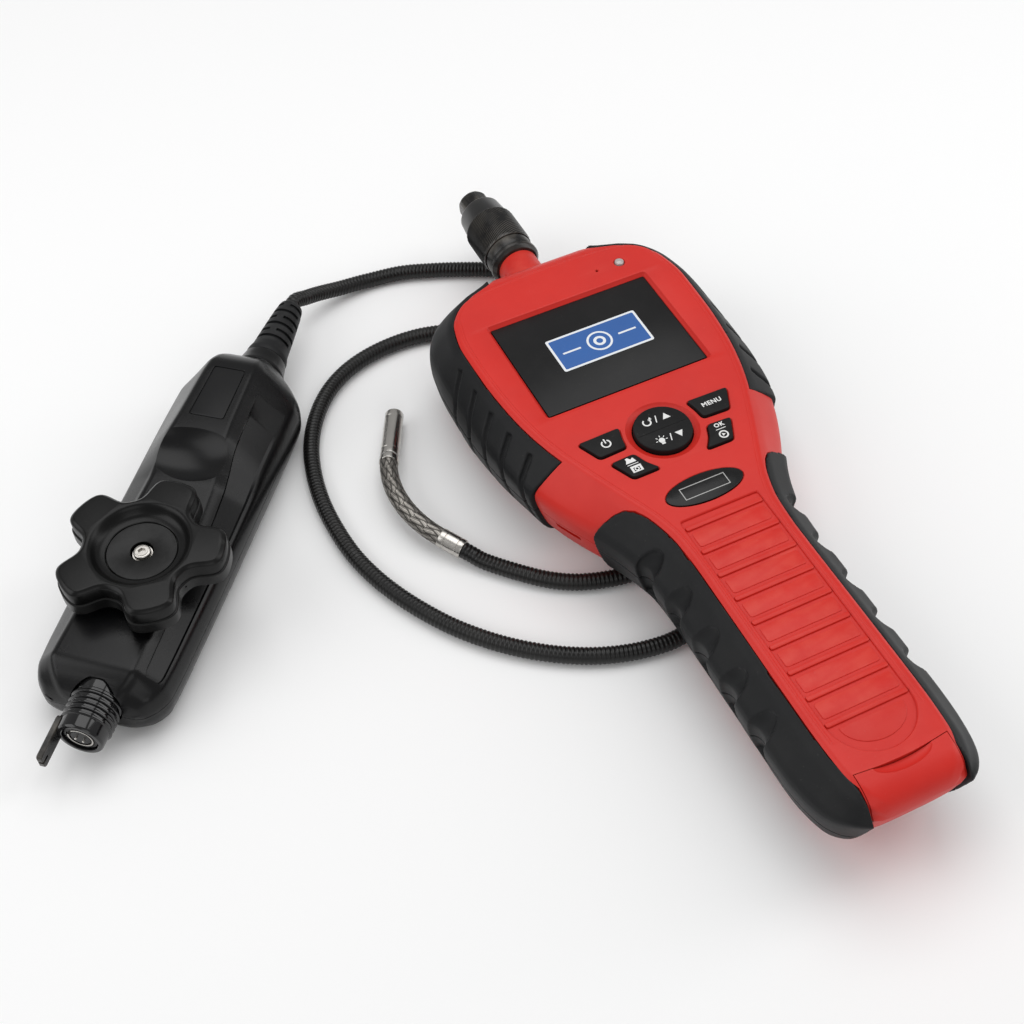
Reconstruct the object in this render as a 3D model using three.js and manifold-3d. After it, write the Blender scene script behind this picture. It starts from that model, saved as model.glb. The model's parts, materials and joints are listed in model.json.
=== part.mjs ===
// Articulating inspection camera: a handheld monitor lying on the flexible probe of its steering grip.
// Lengths are in millimetres, +Z is up, z = 0 is the surface that the grip and the probe lie on.
// The handset's long axis is along Y with its probe connector towards +Y and its screen facing +Z.
import * as THREE from "three";
import { mergeVertices } from "three/addons/utils/BufferGeometryUtils.js";
import Module from "manifold-3d";

const wasm = await Module();
wasm.setup();

// ---------------------------------------------------------------- driving sizes
const GAP = 0.3;                 // clearance between touching pieces
const TUBE_D = 7.0;              // flexible probe tube
const HEAD_D = 8.0;              // camera head
const CASE_T = 41.7;             // handset, back to face
const REAR_Z = TUBE_D + GAP;     // the handset lies on the probe
const FACE_Z = REAR_Z + CASE_T;
const PARTING_Z = REAR_Z + CASE_T * 0.432;
const WALL = 2.5;                // moulded wall
const BUMPER_T = 4.2;            // overmoulded grip rubber
const PROUD = 2.0;               // how far the rubber stands out of the case
const FACE_WALL = 3.0;           // wall under the handset's face
const SCREEN_W = 71;
const SCREEN_H = 53.3;
const KEY_LIFT = 1.1;            // keys above the face
const HANDSET = new THREE.Vector3(98.62, 53.62, 0);  // screen centre in plan
const KNOB_AT = new THREE.Vector3(-99.58, 43.72, 0); // steering knob's axis in plan
const GRIP_TURN = -40.4;         // grip's long axis, degrees from +Y
const AXIS_H = 16;               // height of the grip's plug and strain relief
const SOCKET_Z = REAR_Z + CASE_T * 0.508;  // height of the handset's connector

const FINISH = {
  red: [0xc8362c, 0.42, 0],
  rubber: [0x232325, 0.75, 0],
  black: [0x1b1b1d, 0.5, 0],
  gloss: [0x0c0c0d, 0.15, 0],
  key: [0x161617, 0.6, 0],
  steel: [0xb9b9b6, 0.3, 1],
  braid: [0x8f8d88, 0.45, 1],
  glass: [0x101214, 0.05, 0],
  lens: [0x20242a, 0.05, 0],
  led: [0xe8e4e0, 0.2, 0],
  board: [0x1d5a34, 0.6, 0],
  cell: [0x2c4a8a, 0.5, 0],
  brass: [0xb08a3e, 0.35, 1],
  tube: [0x101011, 0.35, 0],
  label: [0x141415, 0.7, 0],
};

const group = new THREE.Group();

// ---------------------------------------------------------------- solids
function toSolid(geometry) {
  const bare = new THREE.BufferGeometry();
  bare.setAttribute("position", geometry.getAttribute("position").clone());
  if (geometry.index) bare.setIndex(geometry.index.clone());
  const welded = mergeVertices(bare, 1e-4);
  const points = welded.getAttribute("position").array;
  const corner = (i) => new THREE.Vector3().fromArray(points, 3 * i);
  const faces = [];
  let volume = 0;
  for (let i = 0; i < welded.index.count; i += 3) {
    const [a, b, c] = welded.index.array.slice(i, i + 3);
    if (a === b || b === c || c === a) continue;
    faces.push([a, b, c]);
    volume += corner(a).dot(corner(b).cross(corner(c)));
  }
  if (volume < 0) faces.forEach((face) => face.reverse());
  const mesh = new wasm.Mesh({
    numProp: 3,
    vertProperties: new Float32Array(points),
    triVerts: new Uint32Array(faces.flat()),
  });
  mesh.merge();
  return new wasm.Manifold(mesh);
}

function toGeometry(solid) {
  const data = solid.getMesh();
  const geometry = new THREE.BufferGeometry();
  const points = new Float32Array(data.numVert * 3);
  for (let i = 0; i < data.numVert; i++) {
    for (let k = 0; k < 3; k++) points[3 * i + k] = data.vertProperties[i * data.numProp + k];
  }
  geometry.setAttribute("position", new THREE.BufferAttribute(points, 3));
  geometry.setIndex(new THREE.BufferAttribute(new Uint32Array(data.triVerts), 1));
  return geometry;
}

function add(name, solid, finish) {
  const [color, roughness, metalness] = FINISH[finish];
  const geometry = toGeometry(solid);
  geometry.computeVertexNormals();
  const mesh = new THREE.Mesh(geometry, new THREE.MeshStandardMaterial({ color, roughness, metalness }));
  mesh.name = name;
  group.add(mesh);
}

const moved = (solid, x, y, z) => solid.translate([x, y, z]);

function join(...solids) {
  return solids.reduce((a, b) => a.add(b));
}

function cut(solid, ...tools) {
  return tools.reduce((a, b) => a.subtract(b), solid);
}

function box(x0, x1, y0, y1, z0, z1) {
  const geometry = new THREE.BoxGeometry(x1 - x0, y1 - y0, z1 - z0);
  geometry.translate((x0 + x1) / 2, (y0 + y1) / 2, (z0 + z1) / 2);
  return toSolid(geometry);
}

// Solid of revolution about Z; profile is [radius, z] from the axis round to the axis.
function lathe(profile, sides = 32) {
  const outline = profile.map(([r, z]) => new THREE.Vector2(r, z));
  return toSolid(new THREE.LatheGeometry(outline, sides).rotateX(Math.PI / 2));
}

// Ring of revolution about Z with a closed profile.
const ring = (profile, sides = 32) => lathe([...profile, profile[0]], sides);

function prism(points, z0, z1) {
  const shape = new THREE.Shape(points.map(([x, y]) => new THREE.Vector2(x, y)));
  const geometry = new THREE.ExtrudeGeometry(shape, { depth: z1 - z0, bevelEnabled: false });
  geometry.translate(0, 0, z0);
  return toSolid(geometry);
}

// Skin through a list of rings with the same number of points, closed by a flat fan at each end.
function loft(rings) {
  const count = rings[0].length;
  const points = rings.flat();
  const faces = [];
  for (let i = 0; i + 1 < rings.length; i++) {
    for (let k = 0; k < count; k++) {
      const a = i * count + k;
      const b = i * count + (k + 1) % count;
      faces.push([a, b, b + count], [a, b + count, a + count]);
    }
  }
  for (const [first, flip] of [[0, true], [(rings.length - 1) * count, false]]) {
    const end = rings[first / count];
    const centre = [0, 1, 2].map((k) => end.reduce((sum, p) => sum + p[k], 0) / count);
    points.push(centre);
    for (let k = 0; k < count; k++) {
      const a = first + k;
      const b = first + (k + 1) % count;
      faces.push(flip ? [points.length - 1, b, a] : [points.length - 1, a, b]);
    }
  }
  const geometry = new THREE.BufferGeometry();
  geometry.setAttribute("position", new THREE.BufferAttribute(new Float32Array(points.flat()), 3));
  geometry.setIndex(faces.flat());
  return toSolid(geometry);
}

// Straight-line reading of a table of [key, value, ...] rows sorted by rising key.
function read(table, key, column) {
  if (key <= table[0][0]) return table[0][column];
  for (let i = 1; i < table.length; i++) {
    if (key <= table[i][0]) {
      const [low, high] = [table[i - 1], table[i]];
      return low[column] + (high[column] - low[column]) * (key - low[0]) / (high[0] - low[0]);
    }
  }
  return table[table.length - 1][column];
}

const mirrorX = (points) => points.map(([x, y]) => [-x, y]).reverse();

function arc(cx, cy, r, from, to, steps) {
  return Array.from({ length: steps + 1 }, (_, i) => {
    const a = THREE.MathUtils.degToRad(from + (to - from) * i / steps);
    return [cx + r * Math.cos(a), cy + r * Math.sin(a)];
  });
}

// Same outline, grown by d along its vertex normals (counter-clockwise outlines grow outwards).
function grown(points, d) {
  const n = points.length;
  return points.map((p, i) => {
    const a = points[(i + n - 1) % n];
    const b = points[(i + 1) % n];
    const e1 = new THREE.Vector2(p[0] - a[0], p[1] - a[1]).normalize();
    const e2 = new THREE.Vector2(b[0] - p[0], b[1] - p[1]).normalize();
    const m = new THREE.Vector2(e1.y + e2.y, -e1.x - e2.x).normalize();
    const k = d / Math.max(0.5, m.x * e1.y - m.y * e1.x);
    return [p[0] + m.x * k, p[1] + m.y * k];
  });
}

// ---------------------------------------------------------------- handset case
// Rows: y from the screen centre, half width of the case, half width of the flat face, drop of the face
// and rise of the back where the ends are rounded.
const CASE = [
  [-228.3, 16, 10.6, 8.5, 31],
  [-227.4, 18.8, 12.8, 5.6, 27],
  [-225.6, 21.8, 15.2, 3.2, 21.8],
  [-222.5, 25, 17.4, 1.4, 14.9],
  [-218, 28, 19.2, 0.3, 7.6],
  [-212, 30.2, 20.6, 0, 2.9],
  [-205, 31.8, 21.2, 0, 0.9],
  [-198, 32.4, 21.5, 0, 0],
  [-190, 32.6, 21.6, 0, 0],
  [-118, 32.4, 21.2, 0, 0],
  [-103, 33.2, 22, 0, 0],
  [-92, 36, 24.4, 0, 0],
  [-76, 43, 30.8, 0, 0],
  [-56, 52.6, 39, 0, 0],
  [-34, 58.2, 46.2, 0, 0],
  [0, 60.4, 50.6, 0, 0],
  [20, 60.2, 51, 0, 0],
  [34.8, 58.6, 48.4, 0, 0],
  [42.7, 55.4, 43.2, 0, 0],
  [48, 51.6, 35, 0, 0],
  [54, 44, 23.6, 2.1, 2.1],
  [56.6, 38.5, 20.6, 4.8, 4.8],
  [58, 32, 17, 8.5, 8.5],
];

// Closed ring across the handset at one station; grow moves the sides, sink lowers the face edges.
// The flanks lean in towards the back, most along the grip.
function caseRing([y, half, face, drop, rise], grow, sink) {
  const w = half + grow;
  const e = face - sink;
  const lean = Math.min(1, Math.max(0.35, (20 - y) / 60));
  const slim = Math.min(1, w / 26);
  const low = REAR_Z + sink;
  const top = FACE_Z - sink;
  const middle = (REAR_Z + rise + FACE_Z - drop) / 2;
  const reach = Math.max(0.8, (FACE_Z - drop - REAR_Z - rise) / 2 - sink);
  const side = [
    [w - (14 + 3 * lean) * slim, low],
    [w - (6 + 4.5 * lean) * slim, low + 1.4],
    [w - (1.9 + 5.1 * lean) * slim, low + 6],
    [w - 4.2 * lean * slim, PARTING_Z - 4],
    [w - 2.2 * lean * slim, PARTING_Z + 2.5],
    [w - (w - e) * (0.2 - 0.14 * lean), top - 13.5],
    [w - (w - e) * 0.52, top - 7],
    [e + 2.2 + grow * 0.25, top - 3],
    [e, top - 1.2],
    [e - 1.6, top],
  ];
  const squash = 2 * reach / (top - low);
  return [...side, ...side.map(([x, z]) => [-x, z]).reverse()]
    .map(([x, z]) => [x, y, middle - reach + (z - low) * squash]);
}

function caseLoft(grow, sink, ends) {
  const rows = CASE.map((row) => [...row]);
  const shift = (row, d) => [row[0] + d, ...row.slice(1)];
  const placed = rows.map((row, i) => {
    if (i < 6) return shift(row, -ends);
    return i > rows.length - 6 ? shift(row, ends) : row;
  });
  return loft(placed.map((row) => caseRing(row, grow, sink)));
}

// Plan of the head rubber on the right: outside the face from the top corner down the side.
const HEAD_RUBBER_END = -49.5;
const GRIP_RUBBER_START = -77.5;
const TAIL_HALF = 18.5;          // half width of the battery cover between the rubbers
const COVER_Y = -212;

const faceEdge = (y) => read(CASE, y, 2);

function headRegion(gap) {
  const inner = [-49.5, -34, 0, 20, 34.8, 42.7, 48].map((y) => [faceEdge(y) - gap, y]);
  inner[0] = [faceEdge(HEAD_RUBBER_END) - gap, HEAD_RUBBER_END - gap];
  return [...inner, [24 - gap, 51], [24 - gap, 70], [90, 70], [90, HEAD_RUBBER_END - gap]].reverse();
}

function gripRegion(gap) {
  const inner = [-92, -103, -118, -190].map((y) => [faceEdge(y) - gap, y]);
  const start = [[90, GRIP_RUBBER_START + gap], [38, GRIP_RUBBER_START - 0.4 + gap], [31, -80.4 + gap],
    [27 - gap, -85 + gap]];
  const tail = [[21 - gap, -205], [TAIL_HALF + 0.6 - gap, COVER_Y + 1], [TAIL_HALF + 0.6 - gap, -240], [90, -240]];
  return [...start, ...inner, ...tail];
}

const RIGHT_HALF = 1;
const caseSolid = caseLoft(0, 0, 0);
const coreSolid = caseLoft(PROUD - BUMPER_T, BUMPER_T - PROUD, -1.8);
const skinSolid = caseLoft(PROUD, 0, PROUD);
const cavitySolid = caseLoft(PROUD - BUMPER_T - WALL, FACE_WALL, -1.8 - WALL);
const backingSolid = caseLoft(PROUD - BUMPER_T - GAP, BUMPER_T - PROUD + GAP, -1.8 - GAP);

function regionPrism(outline, side) {
  return prism(side === RIGHT_HALF ? outline : mirrorX(outline), -5, FACE_Z - 1.1);
}

// Curved slots across the head rubber and thumb scoops along the grip rubber.
const GROOVE_FIRST = 20.5;
const GROOVE_PITCH = 13.7;
const GROOVES = 5;
const SCOOP_FIRST = -102;
const SCOOP_PITCH = 19.3;
const SCOOPS = 5;

function grooveTools(side) {
  const tools = [];
  for (let i = 0; i < GROOVES; i++) {
    const y = GROOVE_FIRST - i * GROOVE_PITCH;
    const w = read(CASE, y, 1) + PROUD;
    const tool = box(w - 1.1, w + 4, y - 0.6, y + 0.6, REAR_Z + 7, FACE_Z - 11);
    const slant = box(w - 6.4, w + 4, y - 0.6, y + 0.6, FACE_Z - 11, FACE_Z - 7.6);
    tools.push(side === RIGHT_HALF ? tool : tool.mirror([1, 0, 0]));
    tools.push(side === RIGHT_HALF ? slant : slant.mirror([1, 0, 0]));
  }
  return tools;
}

function scoopTools(side) {
  const tools = [];
  for (let i = 0; i < SCOOPS; i++) {
    const y = SCOOP_FIRST - i * SCOOP_PITCH;
    const w = read(CASE, y, 1) + PROUD;
    const drum = lathe([[0, -14], [7.5, -14], [7.5, 16], [0, 16]], 20).rotate([0, -24, 0]);
    const tool = moved(drum, w + 5, y + 2.5, FACE_Z - 18);
    const kept = tool.intersect(box(0, 90, y - 4.5, y + 12, 0, FACE_Z + 5));
    tools.push(side === RIGHT_HALF ? kept : kept.mirror([1, 0, 0]));
  }
  return tools;
}

function rubber(regionOutline, side, tools) {
  const region = regionPrism(regionOutline, side);
  return cut(skinSolid.intersect(region), coreSolid, ...tools);
}

function half(solid, front) {
  const [z0, z1] = front ? [PARTING_Z + GAP / 2, FACE_Z + 20] : [-20, PARTING_Z - GAP / 2];
  return solid.intersect(box(-120, 120, -260, 120, z0, z1));
}

const PORT_Y = 37;
const portTool = box(-80, -48, PORT_Y - 8, PORT_Y + 8, PARTING_Z - 9, PARTING_Z - 3);

for (const side of [-1, 1]) {
  const word = side > 0 ? "right" : "left";
  const head = rubber(headRegion(0), side, grooveTools(side));
  const grip = rubber(gripRegion(0), side, scoopTools(side));
  for (const front of [true, false]) {
    const place = front ? "front" : "rear";
    let piece = half(head, front);
    if (!front && side < 0) piece = piece.subtract(portTool);
    add(`head_bumper_${word}_${place}`, piece.translate(HANDSET.toArray()), "rubber");
    add(`grip_bumper_${word}_${place}`, half(grip, front).translate(HANDSET.toArray()), "rubber");
  }
}

// Key outlines on the right of the rocker; the left pair mirrors them.
const ROCKER_Y = -53.9;
const ROCKER_R = 11.6;
const UPPER_KEY = [[16.9, -55.7], [28.4, -56.2], [32.8, -46.1], [15, -45.7], [16.3, -50.6]];
const LOWER_KEY = [[10.3, -70.5], [21.6, -70.6], [26.2, -60.5], [16.1, -60], [13.9, -65.6]];
const FLANGE_TOP = FACE_Z - FACE_WALL - GAP;
const KEY_TRAVEL = 0.9;
const PAD_TOP = FLANGE_TOP - 1.2 - KEY_TRAVEL - GAP;

const lineup = {
  menu_key: UPPER_KEY,
  ok_key: LOWER_KEY,
  power_key: mirrorX(UPPER_KEY),
  photo_key: mirrorX(LOWER_KEY),
};
const keyHoles = [];
for (const [name, outline] of Object.entries(lineup)) {
  const cap = join(
    prism(outline, FLANGE_TOP - 1.2, FACE_Z + KEY_LIFT - 0.4),
    prism(grown(outline, -0.4), FACE_Z + KEY_LIFT - 0.4, FACE_Z + KEY_LIFT),
    prism(grown(outline, 0.9), FLANGE_TOP - 1.2, FLANGE_TOP),
  );
  add(name, cap.translate(HANDSET.toArray()), "key");
  keyHoles.push(prism(grown(outline, GAP), FACE_Z - 12, FACE_Z + 5));
}
const rocker = join(
  lathe([[0, FACE_Z - 3.4], [ROCKER_R, FACE_Z - 3.4], [ROCKER_R, FACE_Z + 0.7], [ROCKER_R - 0.7, FACE_Z + KEY_LIFT],
    [0, FACE_Z + KEY_LIFT + 0.4]], 32),
  lathe([[0, PAD_TOP + GAP], [2, PAD_TOP + GAP], [2, FACE_Z - 3], [0, FACE_Z - 3]], 16),
);
add("rocker_key", moved(rocker, 0, ROCKER_Y, 0).translate(HANDSET.toArray()), "key");
const rockerHole = moved(join(
  lathe([[0, FACE_Z - 12], [ROCKER_R + 0.45, FACE_Z - 12], [ROCKER_R + 0.45, FACE_Z + 5], [0, FACE_Z + 5]], 40),
  lathe([[0, FACE_Z - 1], [ROCKER_R + 2.4, FACE_Z - 1], [ROCKER_R + 2.9, FACE_Z + 5], [0, FACE_Z + 5]], 40),
), 0, ROCKER_Y, 0);

// Screen opening with a sloped frame round the glass.
const frameCut = box(-SCREEN_W / 2 - GAP, SCREEN_W / 2 + GAP, -SCREEN_H / 2 - GAP, SCREEN_H / 2 + GAP,
  FACE_Z - 10, FACE_Z + 10);
const slope = loft([[FACE_Z - 1.6, GAP], [FACE_Z + 0.01, 1.7], [FACE_Z + 4, 1.7]].map(([z, d]) => {
  const [x, y] = [SCREEN_W / 2 + d, SCREEN_H / 2 + d];
  return [[-x, -y, z], [x, -y, z], [x, y, z], [-x, y, z]];
}));

// Badge seat, ribbed thumb panel, indicator and microphone holes.
const BADGE_Y = -86;
const badgeOutline = (d) => Array.from({ length: 28 }, (_, i) => {
  const a = i * Math.PI / 14;
  return [(16.2 + d) * Math.cos(a), BADGE_Y + (6.5 + d) * Math.sin(a)];
});
const PANEL_HALF = 16.6;
const PANEL_TOP = -96.5;
const RIB_FIRST = -100.3;
const RIB_PITCH = 11.7;
const RIBS = 9;
const panelOutline = [...arc(0, -194, PANEL_HALF, 180, 360, 14), [PANEL_HALF, PANEL_TOP], [-PANEL_HALF, PANEL_TOP]];
const panelCut = cut(
  prism(panelOutline, FACE_Z - 0.9, FACE_Z + 5),
  ...Array.from({ length: RIBS }, (_, i) => {
    const y = RIB_FIRST - i * RIB_PITCH;
    return box(-PANEL_HALF - 1, PANEL_HALF + 1, y - 0.7, y + 0.7, FACE_Z - 3, FACE_Z - 0.2);
  }),
);
const LED_AT = [30, 37.7];
const MIC_AT = [19.2, 37.4];
const ledHole = moved(lathe([[0, FACE_Z - 12], [2.3, FACE_Z - 12], [2.3, FACE_Z + 5], [0, FACE_Z + 5]], 20), ...LED_AT, 0);
const micHole = moved(lathe([[0, FACE_Z - 12], [0.55, FACE_Z - 12], [0.55, FACE_Z + 5], [0, FACE_Z + 5]], 12), ...MIC_AT, 0);

// The battery cover takes the tail between the rubbers and slides off along -Y.
const coverZone = (gap) => box(-TAIL_HALF + gap, TAIL_HALF - gap, -260, COVER_Y - gap, -20, FACE_Z + 20);
const rubberZones = [-1, 1].flatMap((side) => [
  regionPrism(headRegion(GAP), side),
  regionPrism(gripRegion(GAP), side),
]);
const shellOuter = join(cut(caseSolid, ...rubberZones), backingSolid);
const NECK_R = 9;
const NECK_ROOT = 49;
const neckHole = (() => {
  const drum = lathe([[0, 0], [NECK_R + GAP, 0], [NECK_R + GAP, 40], [0, 40]], 32).rotate([-90, 0, 0]);
  return moved(drum, 0, NECK_ROOT - 8, SOCKET_Z);
})();
const SLOT_Y = -63;
const slotTool = box(-80, -36.5, SLOT_Y - 5.4, SLOT_Y + 5.4, PARTING_Z - 4.4, PARTING_Z - 1.6);
const shell = cut(shellOuter, cavitySolid, coverZone(0), neckHole);
const frontShell = cut(half(shell, true), ...keyHoles, rockerHole, frameCut, slope, ledHole, micHole, panelCut,
  prism(badgeOutline(GAP), FACE_Z - 0.8, FACE_Z + 5));
add("front_shell", frontShell.translate(HANDSET.toArray()), "red");
add("rear_shell", cut(half(shell, false), slotTool).translate(HANDSET.toArray()), "red");

const coverBody = cut(caseSolid.intersect(coverZone(GAP)), cavitySolid,
  moved(lathe([[0, -2], [9, -2], [6.5, 3], [0, 3]], 24), 0, COVER_Y - 0.5, FACE_Z + 0.4));
add("battery_cover", coverBody.translate(HANDSET.toArray()), "red");

// Screen, board, keypad, battery and small fittings.
const place = (solid) => solid.translate(HANDSET.toArray());
add("screen_lens", place(box(-SCREEN_W / 2, SCREEN_W / 2, -SCREEN_H / 2, SCREEN_H / 2, FACE_Z - 2.6, FACE_Z - 1.4)),
  "glass");
add("lcd_panel", place(box(-40, 40, -31, 31, FACE_Z - 9, FACE_Z - 3 - GAP)), "cell");
add("main_board", place(cut(box(-38, 38, -66, 40, FACE_Z - 12, FACE_Z - 10.4),
  box(-60, -24, -80, -40, 0, 90), box(24, 60, -80, -40, 0, 90))), "board");
add("key_pad", place(box(-27, 27, -75, -42, PAD_TOP - 1.6, PAD_TOP)), "rubber");
add("badge", place(prism(badgeOutline(0), FACE_Z - 0.8 + GAP, FACE_Z + 0.35)), "gloss");
add("status_led", place(moved(lathe([[0, FACE_Z - 3], [2, FACE_Z - 3], [2, FACE_Z + 0.2], [1.4, FACE_Z + 0.7],
  [0, FACE_Z + 0.9]], 20), ...LED_AT, 0)), "led");
add("battery_pack", place(box(-10, 10, -205, -125, PARTING_Z - 8, PARTING_Z + 12)), "cell");
add("card_slot", place(cut(box(-35.8, -23.8, SLOT_Y - 6, SLOT_Y + 6, PARTING_Z - 5.5, PARTING_Z - 0.5),
  box(-60, -26.8, SLOT_Y - 5, SLOT_Y + 5, PARTING_Z - 4, PARTING_Z - 2))), "steel");

// ---------------------------------------------------------------- handset connector, turned about Y
const COLLAR_Y = 76;
const RING_Y = 85;
const BAND_Y = 105.3;
const RING_END = 115.5;
const NOSE_END = 124;
const BARREL_R = 6.4;
const alongY = (solid) => moved(solid.rotate([-90, 0, 0]), 0, 0, SOCKET_Z);

// Solid with n flats about Z.
function flats(r, n, z0, z1) {
  return prism(Array.from({ length: n }, (_, i) => {
    const a = (i + 0.5) * 2 * Math.PI / n;
    return [r * Math.cos(a), r * Math.sin(a)];
  }), z0, z1);
}

const neck = cut(lathe([[0, NECK_ROOT], [NECK_R, NECK_ROOT], [NECK_R, COLLAR_Y - GAP], [0, COLLAR_Y - GAP]], 32),
  lathe([[0, NECK_ROOT - 1], [BARREL_R + GAP, NECK_ROOT - 1], [BARREL_R + GAP, COLLAR_Y + 5], [0, COLLAR_Y + 5]], 32));
add("socket_neck", place(alongY(neck)), "red");
const collar = ring([[BARREL_R + GAP, COLLAR_Y], [10.2, COLLAR_Y], [11.3, COLLAR_Y + 1.2], [11.3, COLLAR_Y + 3.4],
  [10.7, COLLAR_Y + 4], [10.9, RING_Y - GAP], [BARREL_R + GAP, RING_Y - GAP]], 24);
add("socket_collar", place(alongY(collar)), "gloss");
const sleeve = ring([[BARREL_R + GAP, RING_Y], [10.6, RING_Y], [11.8, RING_Y + 1], [11.8, BAND_Y - 0.8],
  [11.1, BAND_Y], [10.2, BAND_Y + 0.4], [9.5, RING_END - 0.8], [8.8, RING_END], [BARREL_R + GAP, RING_END]], 22);
add("coupling_ring", place(alongY(sleeve)), "black");
const barrelBody = join(
  lathe([[0, NECK_ROOT + 2], [BARREL_R, NECK_ROOT + 2], [BARREL_R, RING_END + GAP], [0, RING_END + GAP]], 24),
  flats(7.4, 6, RING_END + GAP, NOSE_END - 0.6).intersect(
    lathe([[0, RING_END], [6.9, RING_END], [6.9, NOSE_END - 1.4], [6.2, NOSE_END], [0, NOSE_END]], 24)),
);
const mouth = lathe([[0, NOSE_END - 3.4], [4.6, NOSE_END - 3.4], [4.6, NOSE_END + 2], [0, NOSE_END + 2]], 24);
add("socket_barrel", place(alongY(cut(barrelBody, mouth))), "black");
add("socket_contacts", place(alongY(join(
  lathe([[0, NOSE_END - 3.4 + GAP], [4.3, NOSE_END - 3.4 + GAP], [4.3, NOSE_END - 2.2], [0, NOSE_END - 2.2]], 20),
  ...[0, 1, 2, 3].map((i) => moved(lathe([[0, NOSE_END - 2.4], [0.4, NOSE_END - 2.4], [0.4, NOSE_END - 1], [0, NOSE_END - 1]], 8),
    2.2 * Math.cos(i * Math.PI / 2 + 0.4), 2.2 * Math.sin(i * Math.PI / 2 + 0.4), 0)),
))), "brass");

// ---------------------------------------------------------------- steering grip, knob axis at its origin
const GRIP_SPLIT = 12.5;
const DECK_Z = 27;
const onGrip = (solid) => solid.rotate([0, 0, GRIP_TURN]).translate(KNOB_AT.toArray());

// Rows: v along the grip, half width, half width of the top, top height, bottom rise.
const GRIP = [
  [-55.5, 15, 8, 17, 6],
  [-53, 19.5, 11.5, 22.5, 2.4],
  [-48.5, 23, 14.6, 26.2, 0.7],
  [-44, 24.6, 16, 28.6, 0],
  [20, 25.6, 14.4, 28.4, 0],
  [42, 25.6, 13.2, 29.4, 0],
  [50, 25.6, 12.8, 31.8, 0],
  [60, 25.6, 12, 35.6, 0],
  [72, 25.6, 11.2, 36.6, 0],
  [96, 25.2, 10.2, 36.6, 0],
  [102.5, 23.2, 9.8, 36.2, 0.6],
  [108, 19.4, 9.2, 34, 1.8],
  [112.5, 15, 8.6, 30.2, 3.6],
  [115.5, 12.2, 8, 27, 5],
];

// The body is set a little to the left of the knob's axis, and the deck a little more.
const BODY_SHIFT = -2;
const DECK_SHIFT = -3;

function gripRing([v, w, t, top, rise], inset) {
  const half = w + 2 - inset;
  const deck = Math.max(t + 0.6 - inset * 0.7, 2);
  const high = top - inset;
  const low = rise + inset;
  const side = [
    [half - 7, low],
    [half - 2, low + 2.6],
    [half, Math.max(GRIP_SPLIT - 3.5, low + 4)],
    [half, GRIP_SPLIT + 2],
    [half - 1.6, Math.min(GRIP_SPLIT + 7.5, high - 4)],
    [deck + 1.6, high - 2.2],
    [deck, high - 0.6],
    [deck - 1.4, high],
  ];
  const shift = (i) => (i < 5 ? BODY_SHIFT : DECK_SHIFT);
  const right = side.map(([x, z], i) => [x + shift(i), v, z]);
  return [...right, ...side.map(([x, z], i) => [shift(i) - x, v, z]).reverse()];
}

const gripOuter = loft(GRIP.map((row) => gripRing(row, 0)));
const gripCavity = loft(GRIP.slice(2, -2).map((row) => gripRing(row, WALL)))
  .intersect(box(-60, 60, -120, 200, 0, DECK_Z - WALL));
const gripHalf = (solid, upper) => solid.intersect(
  upper ? box(-60, 60, -120, 200, GRIP_SPLIT + GAP / 2, 80) : box(-60, 60, -120, 200, -20, GRIP_SPLIT - GAP / 2));

// Seats for plug and strain relief along the grip's axis at AXIS_H.
const alongGrip = (solid) => moved(solid.rotate([-90, 0, 0]), 0, 0, AXIS_H);
const rod = (r, v0, v1, sides = 22) => lathe([[0, v0], [r, v0], [r, v1], [0, v1]], sides);
const PLUG_R = 9.2;
const PLUG_START = -47.5;
const PLUG_END = -70;
const RELIEF_SEAT_R = 11;
const RELIEF_START = 113;
const BOOT_START = 124;
const BOOT_END = 158;
const THREAD_R = 9.9;
const plugHole = alongGrip(join(rod(PLUG_R + GAP, -60, PLUG_START + 6 + GAP), rod(THREAD_R + GAP, -60, -49)));
const reliefHole = alongGrip(rod(7 + GAP, 100, 130));
const LABEL_V = [72, 99];
const labelOutline = (d) => [[-7.2 - d, LABEL_V[0] - d], [7.2 + d, LABEL_V[0] - d], [6.6 + d, LABEL_V[1] + d],
  [-6.6 - d, LABEL_V[1] + d]].map(([u, v]) => [u + DECK_SHIFT, v]);
const labelCut = prism(labelOutline(GAP), 35.6, 60);
// Cylindrical thumb scoop between label and knob.
const scoop = moved(lathe([[0, -30], [19, -30], [19, 30], [0, 30]], 36).rotate([0, 90, 0]), 0, 49.5, 47.4)
  .intersect(box(-15.4, 9.4, 25, 66, 20, 60));
const SHAFT_R = 4;
const shaftHole = rod(SHAFT_R + GAP, 20, 60);
const upper = cut(gripHalf(gripOuter, true), gripCavity, plugHole, reliefHole, labelCut, scoop, shaftHole);
add("grip_upper_shell", onGrip(upper), "black");
add("grip_lower_shell", onGrip(cut(gripHalf(gripOuter, false), gripCavity, plugHole, reliefHole)), "black");
add("grip_label", onGrip(prism(labelOutline(0), 35.6 + GAP, 36.3)), "label");

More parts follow.
